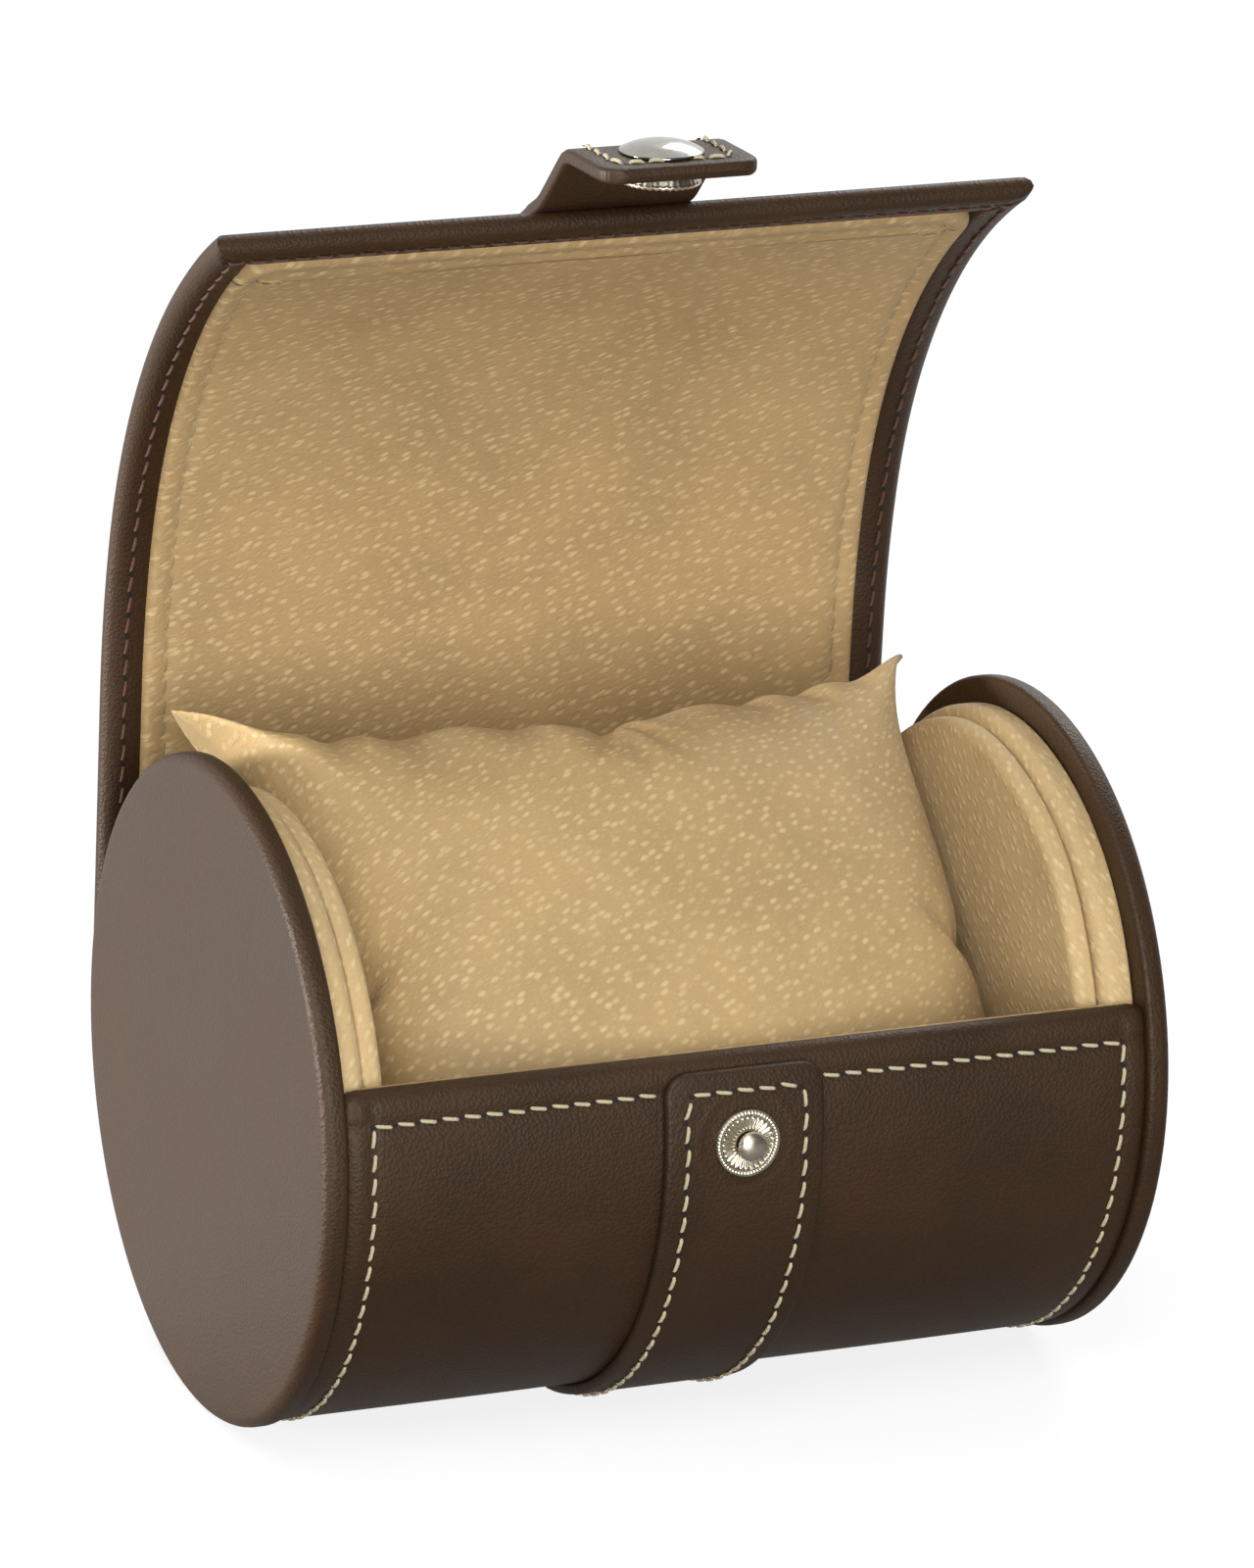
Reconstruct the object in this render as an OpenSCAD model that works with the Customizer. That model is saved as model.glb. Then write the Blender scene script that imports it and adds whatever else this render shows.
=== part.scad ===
// Round travel case for one wristwatch.
// A leather trough is closed by two round padded ends. Its lid is one bending sheet of leather,
// board and padded lining, with a snap tab at its edge, and a loose pillow lies in the trough.
// Lengths are in millimetres. X runs along the case, +Y to the back and +Z up. The origin lies on
// the surface that the case stands on, below the middle of its axis. The lid is drawn open.

/* [Ends] */
// Radius of the round ends
end_r = 44; // [42:0.5:50]
// Thickness of a leather-covered end
end_t = 3.3; // [3:0.1:5]
// Rounding of the rim of an end
end_round = 1.4; // [0.6:0.1:1.4]
// Thickness of the leather over an end
end_skin = 0.9; // [0.7:0.1:1]
// Width of the leather turned in behind an end
end_turn_in = 5; // [4:0.5:8]
// Depth of the flat where an end meets the ground
flat_depth = 0.1; // [0.05:0.05:0.15]

/* [End pads] */
// Thickness of the outer pad, next to the end
outer_pad_t = 4.3; // [3.5:0.1:6]
// Thickness of the inner pad at its edge
inner_pad_t = 3; // [2.5:0.1:4]
// Height of the inner pad's crown
pad_crown = 0.9; // [0.3:0.1:1.4]
// How much smaller in radius the inner pad is
pad_step = 1.5; // [1:0.1:3]
// Rounding of the pads' edges
pad_round = 1.3; // [0.8:0.1:1.6]
// Thickness of the lining over a pad
pad_skin = 0.7; // [0.5:0.1:0.9]

/* [Trough] */
// Length of the trough between its ends
trough_len = 111.8; // [100:0.1:140]
// Thickness of the outer leather
leather_t = 1.1; // [0.9:0.1:1.3]
// Thickness of the stiffening board
board_t = 1.1; // [0.9:0.1:1.4]
// Thickness of the trough's lining
lining_t = 0.7; // [0.5:0.1:0.9]
// How far the trough lies inside the rim of the ends
trough_inset = 0.5; // [0.5:0.1:0.8]
// Height of the front edge above the axis, in degrees
front_edge_deg = 17.5; // [14:0.5:20]
// Depth of the back edge below the axis, in degrees
back_edge_deg = 5; // [3:0.5:8]
// Radius of the rolled front edge
front_roll_r = 1.9; // [1.6:0.1:2.2]

/* [Belt] */
// Width of the belt that runs round the case
belt_w = 22; // [18:0.5:28]
// Thickness of the belt
belt_t = 1.6; // [1.2:0.1:2]
// Sideways place of the belt
belt_x = -2; // [-6:0.5:6]
// How far the belt's front end stops below the trough's edge
belt_drop = 0.4; // [0.3:0.1:3]
// Corner radius of the belt's ends
belt_corner_r = 3.2; // [1:0.1:5]

/* [Lid] */
// Length of the lid along its inner face, from the back crease to its edge
lid_len = 127; // [122:0.5:129]
// How far the lid reaches past the trough at each end
lid_over = 1.3; // [0.5:0.1:3]
// How much each strip of the open lid curls forward, in degrees
lid_turn = [0, 0, 10.5, 16.5, 16.5, 16.5];
// Thickness of the lid's padded lining
lid_lining_t = 1.4; // [1:0.1:1.6]
// Thickness of the lid's board
lid_board_t = 1; // [0.8:0.1:1.2]
// Width of the turned leather border inside the lid
border_w = 5.5; // [4:0.1:8]
// How far the border lies below the padded lining
border_step = 0.3; // [0.2:0.1:0.5]
// Clearance of the closed lid over the ends
lid_clear = 0.4; // [0.3:0.1:0.8]
// Width of a crease at the inner face
crease_gap = 0.3; // [0.2:0.1:0.4]
// Angle that a crease opens at the outer face
crease_deg = 11; // [10:1:14]
// Depth of the leather root that holds the lid, in degrees round the back
root_deg = 35; // [30:1:45]

/* [Tab] */
// Lean of the tab's standing part, from upright
tab_stand_lean = 42; // [36:1:50]
// Lean of the tab's end, from upright
tab_end_lean = 87; // [80:1:92]
// Length of the tab's end, from the fold
tab_end_len = 13.6; // [13:0.1:18]
// Distance of the snap cap's middle from the fold
cap_from_fold = 6.1; // [6:0.1:7]
// Clearance round the tab's folds
knuckle_gap = 0.15; // [0.1:0.05:0.2]

/* [Snap] */
// Distance of the stud below the trough's front edge
stud_drop = 9.8; // [9:0.1:12]
// Radius of the stud's fluted ring
ring_r = 4.5; // [4:0.1:4.9]
// Thickness of the stud's fluted ring
ring_t = 0.8; // [0.6:0.1:1]
// Number of flutes on the ring
flutes = 28; // [16:4:36]
// Radius of the stud's head
stud_head_r = 2; // [1.8:0.1:2.1]
// Radius of the stud's neck
stud_neck_r = 1.4; // [1.3:0.05:1.45]
// Height of the socket
socket_h = 2.5; // [2.4:0.1:3]
// Radius of the socket
socket_r = 5.2; // [4.8:0.1:5.2]
// Radius of the domed cap
cap_r = 5.5; // [5:0.1:6]
// Height of the dome
cap_h = 1.5; // [1:0.1:2]
// Radius of the rivets that hold the snap
rivet_r = 0.9; // [0.7:0.05:1]
// Radius of the plate behind the stud
plate_r = 3.5; // [3:0.1:4]
// Clearance between the snapped parts
snap_clear = 0.1; // [0.08:0.01:0.15]
// Radius of the spring wires
wire_r = 0.22; // [0.18:0.01:0.25]

/* [Pillow] */
// Clearance between the pillow's corners and the lining
pillow_gap = 0.4; // [0.35:0.05:0.8]
// How far the pillow's seam lies in front of the axis
pillow_forward = 10.2; // [9:0.1:12]
// How far the top seam stands out beyond the lining's circle
pillow_above = 3.1; // [1:0.1:3.2]
// Half thickness of the pillow's crown
pillow_crown = 24; // [18:0.5:26]
// How far the pillow leans back, from upright
pillow_lean = 45; // [42:1:47]
// How far the sides draw in between the corners
pillow_draw = 2.7; // [1:0.1:4]
// Height of the ears above the upper corners
ear_rise = 7; // [3:0.5:8]
// How far the ears bend back
ear_back = 4; // [1:0.5:6]
// How far the ears reach out over the end pads
ear_out = 3.5; // [1:0.5:4]
// Thickness of the pillow's cover
pillow_skin = 1; // [0.8:0.1:1.2]

/* [Hidden] */
$fn = 96;
cut = 1;
// Keeps a round cutter from just touching a flat face
graze = 0.03;
trough_r = end_r - trough_inset;
board_r = trough_r - leather_t;
lining_r = board_r - board_t;
inside_r = lining_r - lining_t;
belt_r = trough_r + belt_t;
axis_h = end_r - flat_depth;
half_len = trough_len / 2;
lid_w = trough_len + 2 * lid_over;
pad_r = inside_r - 0.2;
pad_gap = 0.15;
lining_fit = 0.1;
core_fit = 0.05;

// Angles round the axis are counted from the back, over the top, to the front
front_deg = 180 - front_edge_deg;
back_deg = 360 - back_edge_deg;
roll_deg = front_roll_r / (trough_r - front_roll_r) * 180 / PI;

strips = len(lid_turn);
strip_len = lid_len / strips;
lid_t = lid_lining_t + lid_board_t + leather_t;
hinge_r = norm([end_r + lid_clear, strip_len / 2]);
edge_r = (lid_t - border_step) / 2;

stud_deg = 180 - front_edge_deg + stud_drop / trough_r * 180 / PI;
ring_top_r = belt_r + ring_t;
tab_mid_r = ring_top_r + snap_clear + socket_h + belt_t / 2;
knuckle_r = belt_t / 2;

// Directions in the Y-Z plane for a strap or strip that leans forward by some degrees
function along(lean) = [-sin(lean), cos(lean)];
function outward(lean) = [cos(lean), sin(lean)];

// The open lid: where each strip starts, and how it leans there
function lean_of(k) = k == 0 ? 0 : lean_of(k - 1) + lid_turn[k - 1];
function half_turn(k) = lid_turn[k] / 2;
function chord_of(k) =
    lid_turn[k] == 0 ? strip_len : strip_len * sin(half_turn(k)) / (half_turn(k) * PI / 180);
function crease_of(k) =
    k == 0
        ? hinge_r * outward(-back_edge_deg)
        : crease_of(k - 1) + chord_of(k - 1) * along(lean_of(k - 1) + half_turn(k - 1));

// The closed lid: its creases lie on one circle round the ends
function closed_deg(k) =
    k == 0 ? -back_edge_deg : closed_deg(k - 1) + 2 * asin(chord_of(k - 1) / (2 * hinge_r));
function closed_lean(k) = (closed_deg(k) + closed_deg(k + 1)) / 2;

// A point on a strip, some way along its inner face and some way outward from it
function bend_r_of(k) = strip_len / (lid_turn[k] * PI / 180);
function lean_at(k, s) = lean_of(k) + lid_turn[k] * s / strip_len;
function on_strip(k, s, out) =
    lid_turn[k] == 0
        ? crease_of(k) + s * along(lean_of(k)) + out * outward(lean_of(k))
        : crease_of(k) - bend_r_of(k) * outward(lean_of(k))
            + (bend_r_of(k) + out) * outward(lean_at(k, s));
function crease_half(out) = crease_gap / 2 + max(out, 0) * tan(crease_deg / 2);
function between(a, b, part) = a + (b - a) * part;

// The same point on the flat facets that stand for a curled strip, so that its layers lie face to face
function facets(k) = lid_turn[k] == 0 ? 1 : 8;
function on_facet(k, s, out) =
    let (size = strip_len / facets(k))
    let (i = max(0, min(facets(k) - 1, floor(s / size))))
    between(on_strip(k, i * size, out), on_strip(k, (i + 1) * size, out), s / size - i);
function facet_line(k, start, end, out) =
    let (size = strip_len / facets(k))
    [
        on_facet(k, start, out),
        for (i = [1:facets(k) - 1])
            if (i * size > start + 0.1 && i * size < end - 0.1) on_strip(k, i * size, out),
        on_facet(k, end, out)
    ];
function backwards(line) = [for (i = [len(line) - 1:-1:0]) line[i]];

// The outline of one layer of a strip, from one distance along it to another. An end at a crease
// slants; a cutter runs on past the ends of what it cuts for.
function strip_outline(k, low, high, end = strip_len, end_cut = 1, past = 0, end_past = 0) =
    let (inner = facet_line(k, crease_half(low), end - end_cut * crease_half(low), low))
    let (outer = facet_line(k, crease_half(high), end - end_cut * crease_half(high), high))
    let (back = past * along(lean_of(k)), on = end_past * along(lean_at(k, end)))
    concat(
        past > 0 ? [inner[0] - back] : [],
        inner,
        end_past > 0 ? [inner[len(inner) - 1] + on, outer[len(outer) - 1] + on] : [],
        backwards(outer),
        past > 0 ? [outer[0] - back] : []
    );

// The tab: its two folds when the lid is open, and when it is closed and snapped
last = strips - 1;
belt_mid = lid_t + belt_t / 2;
lid_end_lean = lean_of(last) + lid_turn[last];
tab_root = on_strip(last, strip_len, belt_mid);
closed_edge_lean = closed_lean(last) + half_turn(last);
closed_tab_root = hinge_r * outward(closed_deg(strips)) + belt_mid * outward(closed_edge_lean);
closed_fold = tab_mid_r * outward(stud_deg) - cap_from_fold * along(stud_deg);
tab_stand_len = norm(closed_fold - closed_tab_root);
tab_fold = tab_root + tab_stand_len * along(tab_stand_lean);

// Places and turns
module along_x() {
    rotate([90, 0, 90]) children();
}
module on_axis() {
    translate([0, 0, axis_h]) children();
}
module at_point(p, lean) {
    on_axis() translate([0, p[0], p[1]]) rotate([lean, 0, 0]) children();
}
module facing_out(deg, r) {
    on_axis() rotate([deg - 90, 0, 0]) translate([belt_x, 0, r]) children();
}
module at_end(side) {
    on_axis() translate([side * half_len, 0, 0]) rotate([0, side * 90, 0]) children();
}
module standing() {
    intersection() {
        children();
        translate([-half_len - 2 * end_t, -2 * end_r, 0])
            cube([trough_len + 4 * end_t, 4 * end_r, 4 * end_r]);
    }
}

// Part of a tube round the case's axis, from one angle to another
module shell(r, t, len, from, to) {
    on_axis() along_x() rotate([0, 0, from]) rotate_extrude(angle = to - from)
        translate([r - t, -len / 2]) square([t, len]);
}
module strip_layer(points, width) {
    on_axis() along_x() translate([0, 0, -width / 2]) linear_extrude(width) polygon(points);
}

// The trough
module trough_cover() {
    color([0.23, 0.15, 0.10]) standing() difference() {
        union() {
            shell(trough_r, leather_t, trough_len, front_deg, back_deg);
            on_axis() along_x() rotate([0, 0, front_deg])
                translate([trough_r - front_roll_r, 0, -half_len]) cylinder(h = trough_len, r = front_roll_r);
        }
        facing_out(stud_deg, board_r - cut) cylinder(h = leather_t + 2 * cut, r = rivet_r + snap_clear);
        // The bead is pressed back beside the padded discs
        for (side = [-1, 1])
            at_end(side) translate([0, 0, -outer_pad_t - 0.1]) cylinder(h = outer_pad_t + cut, r = pad_r + 0.1);
    }
}
module trough_board() {
    color([0.55, 0.48, 0.38]) difference() {
        shell(board_r, board_t, trough_len - 0.2, front_deg + roll_deg + 0.3, back_deg);
        facing_out(stud_deg, lining_r - cut) cylinder(h = board_t + 2 * cut, r = rivet_r + snap_clear);
        facing_out(stud_deg, lining_r - cut) cylinder(h = cut + 0.7, r = plate_r + 2 * snap_clear);
    }
}
module trough_lining() {
    color([0.76, 0.66, 0.48])
        shell(lining_r, lining_t, trough_len - 0.2, front_deg + roll_deg + 0.3, back_deg);
}

// The belt, round the trough and up over its root
module belt_trough() {
    corner_deg = belt_corner_r / trough_r * 180 / PI;
    start_deg = front_deg + belt_drop / trough_r * 180 / PI;
    color([0.21, 0.14, 0.09]) standing() difference() {
        translate([belt_x, 0, 0])
            shell(belt_r, belt_t, belt_w, start_deg, 360 - back_edge_deg - root_deg - 1);
        for (side = [-1, 1])
            facing_out(start_deg + corner_deg, trough_r - cut)
                translate([side * (belt_w / 2 - belt_corner_r + graze), -graze, 0]) difference() {
                    translate([side * belt_corner_r - belt_corner_r, 0, 0])
                        cube([2 * belt_corner_r, 2 * belt_corner_r, belt_t + 2 * cut]);
                    translate([0, 0, -cut]) cylinder(h = belt_t + 4 * cut, r = belt_corner_r);
                }
        facing_out(stud_deg, trough_r - cut) cylinder(h = belt_t + 2 * cut, r = rivet_r + snap_clear);
    }
}

// The leather root lies round the back of the ends and lifts off in a straight line to the lid
root_start_deg = -back_edge_deg - root_deg;
root_lift_deg = -back_edge_deg - 0.7 * root_deg;
root_low = 1.2;
root_seat_r = end_r + 0.2;
function root_line(out) =
    let (r = root_seat_r + out - root_low)
    let (round_part = [for (i = [0:4]) r * outward(between(root_start_deg, root_lift_deg, i / 4))])
    let (lifted = [crease_of(0) + out * outward(0) - [0, crease_gap / 2]])
    concat(round_part, lifted);
module lid_root() {
    color([0.23, 0.15, 0.10])
        strip_layer(concat(root_line(root_low), backwards(root_line(lid_t))), lid_w);
}
module belt_root() {
    color([0.21, 0.14, 0.09]) translate([belt_x, 0, 0])
        strip_layer(concat(root_line(lid_t), backwards(root_line(lid_t + belt_t))), belt_w);
}

// The lid's strips: leather with its edges turned in, board, padded lining and belt
module rolled_edge() {
    centre = on_facet(last, strip_len - edge_r, lid_t - edge_r);
    on_axis() along_x() translate([centre[0], centre[1], -lid_w / 2]) cylinder(h = lid_w, r = edge_r);
}
module lid_cover(k) {
    free = k == last ? 1 : 0;
    color([0.23, 0.15, 0.10]) difference() {
        union() {
            strip_layer(strip_outline(k, border_step, lid_t, strip_len - free * edge_r, 1 - free), lid_w);
            if (k == last) rolled_edge();
        }
        strip_layer(board_outline(k, cut), lid_w - 2 * leather_t);
        strip_layer(lining_outline(k, -cut, cut, lining_fit), lid_w - 2 * border_w);
    }
}
function board_outline(k, past) =
    let (free = k == last ? 1 : 0)
    let (top = lid_lining_t + lid_board_t)
    strip_outline(k, lid_lining_t, top, strip_len - free * edge_r, 1 - free, past, (1 - free) * past);
function lining_outline(k, low, past, end_past) =
    let (free = k == last ? 1 : 0)
    let (end = strip_len - free * (border_w + lining_fit))
    strip_outline(k, low, lid_lining_t, end, 1 - free, past, free ? end_past : past);
module lid_board(k) {
    color([0.55, 0.48, 0.38])
        strip_layer(board_outline(k, 0), lid_w - 2 * leather_t - 2 * lining_fit);
}
module lid_lining(k) {
    color([0.71, 0.60, 0.41])
        strip_layer(lining_outline(k, 0, 0, 0), lid_w - 2 * border_w - 2 * lining_fit);
}
module lid_belt(k) {
    free = k == last ? 1 : 0;
    color([0.21, 0.14, 0.09]) difference() {
        translate([belt_x, 0, 0])
            strip_layer(strip_outline(k, lid_t, lid_t + belt_t, strip_len - free * knuckle_r, 1 - free), belt_w);
        if (k == last)
            at_point(tab_root, 0) rotate([0, 90, 0])
                cylinder(h = 2 * lid_w, r = knuckle_r + knuckle_gap, center = true);
    }
}

// The tab. In its own frame the strap runs up Z, and Y is its outer face.
module strap(len, width) {
    translate([belt_x - width / 2, -belt_t / 2, 0]) cube([width, belt_t, len]);
    translate([belt_x, 0, 0]) rotate([0, 90, 0]) cylinder(h = width, r = knuckle_r, center = true);
}
module tab_stand() {
    color([0.21, 0.14, 0.09]) at_point(tab_root, tab_stand_lean) difference() {
        strap(tab_stand_len - knuckle_r, belt_w);
        translate([belt_x, 0, tab_stand_len]) rotate([0, 90, 0])
            cylinder(h = belt_w + 2 * cut, r = knuckle_r + knuckle_gap, center = true);
    }
}
module tab_end() {
    color([0.21, 0.14, 0.09]) at_point(tab_fold, tab_end_lean) difference() {
        union() {
            strap(tab_end_len - belt_corner_r, belt_w);
            strap(tab_end_len, belt_w - 2 * belt_corner_r);
            for (side = [-1, 1])
                translate([belt_x + side * (belt_w / 2 - belt_corner_r), 0, tab_end_len - belt_corner_r])
                    rotate([90, 0, 0]) cylinder(h = belt_t, r = belt_corner_r, center = true);
        }
        translate([belt_x, 0, cap_from_fold]) rotate([90, 0, 0])
            cylinder(h = belt_t + 2 * cut, r = rivet_r + snap_clear, center = true);
    }
}

// The snap. Each piece is drawn standing on Z = 0 and pointing up.
module on_tab(face) {
    at_point(tab_fold, tab_end_lean) translate([belt_x, face * belt_t / 2, cap_from_fold])
        rotate([-90 * face, 0, 0]) children();
}
module snap_stud() {
    head_low = 1.1;
    head_top = socket_h - 0.15;
    color([0.80, 0.76, 0.68]) facing_out(stud_deg, belt_r) difference() {
        rotate_extrude() polygon([
            [0, 0],
            [stud_neck_r, 0],
            [stud_neck_r, ring_t + head_low - 0.5],
            [stud_head_r, ring_t + head_low],
            for (a = [0:15:90])
                [
                    stud_head_r * cos(a) * 0.999,
                    ring_t + head_low + 0.3 + (head_top - head_low - 0.3) * sin(a)
                ]
        ]);
        translate([0, 0, -cut]) cylinder(h = cut + ring_t + 0.6, r = rivet_r + snap_clear / 2);
    }
}
module stud_ring() {
    hole_r = stud_neck_r + 0.1;
    color([0.83, 0.78, 0.68]) facing_out(stud_deg, belt_r) {
        rotate_extrude() polygon([
            [hole_r, 0],
            [ring_r, 0],
            [ring_r, ring_t * 0.6],
            [ring_r - 0.25, ring_t],
            [ring_r - 0.7, ring_t],
            [ring_r - 1, ring_t * 0.55],
            [hole_r + 0.6, ring_t * 0.4],
            [hole_r, ring_t * 0.4]
        ]);
        for (i = [0:flutes - 1])
            rotate([0, 0, i * 360 / flutes])
                translate([ring_r - 1.7, 0, ring_t * 0.4])
                    rotate([0, 90, 0]) cylinder(h = 1.1, r = 0.16, $fn = 16);
    }
}
module stud_rivet() {
    plate_low = 0.1;
    plate_t = 0.5;
    color([0.62, 0.58, 0.52]) facing_out(stud_deg, lining_r) {
        translate([0, 0, plate_low]) cylinder(h = plate_t, r = plate_r);
        cylinder(h = trough_r - lining_r + belt_t + ring_t + 0.4, r = rivet_r);
    }
}
module snap_socket() {
    lip = 0.25;
    wire_room = 2 * wire_r + 0.1;
    color([0.80, 0.78, 0.74]) on_tab(-1) difference() {
        rotate_extrude() polygon([
            [0, 0],
            [socket_r - 0.7, 0],
            [socket_r - 0.5, 0.5],
            [socket_r, socket_h - 0.7],
            [socket_r, socket_h - 0.25],
            [socket_r - 0.4, socket_h],
            [0, socket_h]
        ]);
        translate([0, 0, 0.1]) cylinder(h = socket_h, r = stud_head_r + 0.15);
        translate([0, 0, -cut]) cylinder(h = 2 * cut, r = rivet_r + snap_clear);
        translate([0, 0, socket_h - lip - wire_room]) cylinder(h = wire_room, r = socket_r - 1.3);
    }
}
module socket_spring() {
    wire_x = stud_neck_r + wire_r + snap_clear;
    reach = sqrt(pow(socket_r - 1.3, 2) - pow(wire_x + wire_r, 2)) - 0.05;
    bow = socket_r - 1.3 - wire_x - wire_r - 0.05;
    color([0.75, 0.75, 0.72]) on_tab(-1) translate([0, 0, socket_h - 0.25 - wire_r - 0.05]) {
        for (side = [-1, 1])
            translate([side * wire_x, bow, 0]) rotate([90, 0, 0]) cylinder(h = bow + reach, r = wire_r);
        translate([0, bow, 0]) rotate_extrude(angle = 180) translate([wire_x, 0]) circle(r = wire_r);
    }
}
module snap_cap() {
    dome_r = (cap_r * cap_r + cap_h * cap_h) / (2 * cap_h);
    color([0.80, 0.79, 0.77]) on_tab(1) {
        intersection() {
            translate([0, 0, cap_h - dome_r]) sphere(r = dome_r);
            cylinder(h = cap_h, r = cap_r);
        }
        translate([0, 0, -belt_t - 0.08]) cylinder(h = belt_t + cap_h / 2, r = rivet_r);
    }
}

// The ends. Each piece is drawn round Z, with Z = 0 at the trough's end and +Z away from it.
module rounded_disc(r, low, high, low_round, high_round) {
    rotate_extrude() {
        translate([0, low]) square([r - max(low_round, high_round), high - low]);
        translate([0, low + low_round]) square([r, high - low - low_round - high_round]);
        translate([r - low_round, low + low_round]) circle(r = low_round);
        translate([r - high_round, high - high_round]) circle(r = high_round);
    }
}
module end_cover(side) {
    color([0.27, 0.19, 0.13]) standing() at_end(side) difference() {
        rounded_disc(end_r, 0, end_t, end_round / 2, end_round);
        translate([0, 0, end_skin]) cylinder(h = end_t - 2 * end_skin, r = end_r - 1.3);
        translate([0, 0, -cut]) cylinder(h = 2 * cut, r = end_r - end_turn_in);
    }
}
module end_board(side) {
    color([0.55, 0.48, 0.38]) at_end(side) {
        translate([0, 0, end_skin]) cylinder(h = end_t - 2 * end_skin, r = end_r - 1.4);
        cylinder(h = end_skin + 0.01, r = end_r - end_turn_in - 0.1);
    }
}
module outer_pad_core(side) {
    color([0.90, 0.86, 0.72]) at_end(side) translate([0, 0, -outer_pad_t + pad_skin + core_fit])
        cylinder(h = outer_pad_t - 2 * (pad_skin + core_fit), r = pad_r - pad_skin - core_fit);
}
module outer_pad_cover(side) {
    color([0.77, 0.67, 0.49]) at_end(side) difference() {
        rounded_disc(pad_r, -outer_pad_t, 0, pad_round, pad_round / 2);
        translate([0, 0, -outer_pad_t + pad_skin])
            cylinder(h = outer_pad_t - 2 * pad_skin, r = pad_r - pad_skin);
    }
}
// The inner pad's face bulges towards the pillow
inner_pad_r = pad_r - pad_step;
module crowned_disc(r, t, crown, round_r) {
    rotate_extrude() polygon([
        [0, 0],
        [r - round_r / 2, 0],
        [r, -round_r / 2],
        for (a = [0:15:90])
            [r - round_r + round_r * cos(a), -t + round_r - round_r * sin(a)],
        for (i = [1:6])
            let (d = (r - round_r) * (1 - i / 6))
            [d, -t - crown * (1 - pow(d / (r - round_r), 2))]
    ]);
}
module inner_pad_core(side) {
    inset = pad_skin + core_fit;
    color([0.90, 0.86, 0.72]) at_end(side) translate([0, 0, -outer_pad_t - pad_gap - inset])
        crowned_disc(inner_pad_r - inset, inner_pad_t - 2 * inset, pad_crown, pad_round / 2);
}
module inner_pad_cover(side) {
    color([0.77, 0.67, 0.49]) at_end(side) difference() {
        translate([0, 0, -outer_pad_t - pad_gap])
            crowned_disc(inner_pad_r, inner_pad_t, pad_crown, pad_round);
        translate([0, 0, -outer_pad_t - pad_gap - pad_skin])
            crowned_disc(inner_pad_r - pad_skin, inner_pad_t - 2 * pad_skin, pad_crown, pad_round / 2);
    }
}

// The pillow: two panels sewn round their edge. In its own frame X is across, Z up its
// height and Y through its crown. u and v run from -1 to 1 across and up it.
pillow_half_w = half_len - outer_pad_t - pad_gap - inner_pad_t - pillow_gap;
seam_low = sqrt(pow(inside_r - pillow_gap, 2) - pow(pillow_forward, 2));
seam_high = sqrt(pow(inside_r + pillow_above, 2) - pow(pillow_forward, 2));
pillow_half_h = (seam_low + seam_high) / 2;
pillow_mid = (seam_high - seam_low) / 2 * along(-pillow_lean) - pillow_forward * outward(-pillow_lean);
function spread(i, n) = sin(90 * (2 * i / n - 1));
function crown_at(u, v) = pow(max(1 - pow(abs(u), 3), 0), 0.6) * pow(max(1 - pow(abs(v), 2.6), 0), 0.62);
function ear_at(u, v) = pow(abs(u), 9) * pow(max(v, 0), 9);
function pillow_point(u, v, face, half_w, half_h, crown, ears) = [
    u * (half_w - pillow_draw * (1 - v * v)) + sign(u) * ears * ear_out * ear_at(u, v),
    face * crown * crown_at(u, v) + ears * ear_back * ear_at(u, v),
    v * (half_h - pillow_draw * (1 - u * u)) + ears * ear_rise * ear_at(u, v)
];
module pillow_form(nu, nv, half_w, half_h, crown, ears) {
    row = nu + 1;
    grid = row * (nv + 1);
    points = [
        for (face = [-1, 1], j = [0:nv], i = [0:nu])
            pillow_point(spread(i, nu), spread(j, nv), face, half_w, half_h, crown, ears)
    ];
    // Both panels share the points of the seam, and no triangle lies in a corner by itself
    function on_seam(i, j) = i == 0 || i == nu || j == 0 || j == nv;
    function id(face, i, j) = (face == 1 && !on_seam(i, j) ? grid : 0) + j * row + i;
    function split(a, b, c, d, rising) = rising ? [[a, b, c], [a, c, d]] : [[a, b, d], [b, c, d]];
    triangles = [
        for (face = [-1, 1], j = [0:nv - 1], i = [0:nu - 1])
            let (a = id(face, i, j), b = id(face, i + 1, j), c = id(face, i + 1, j + 1), d = id(face, i, j + 1))
            for (t = split(a, b, c, d, (2 * i < nu) == (2 * j < nv)))
                face == 1 ? t : [t[2], t[1], t[0]]
    ];
    polyhedron(points, triangles);
}
module in_trough() {
    at_point(pillow_mid, -pillow_lean) children();
}
module filling_form() {
    seam = 2.5 * pillow_skin;
    pillow_form(14, 12, pillow_half_w - seam, pillow_half_h - seam, pillow_crown - 1.6 * pillow_skin, 0);
}
module pillow_cover() {
    color([0.78, 0.69, 0.50]) in_trough() difference() {
        pillow_form(22, 18, pillow_half_w, pillow_half_h, pillow_crown, 1);
        filling_form();
    }
}
module pillow_filling() {
    color([0.93, 0.92, 0.88]) in_trough() filling_form();
}

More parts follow.
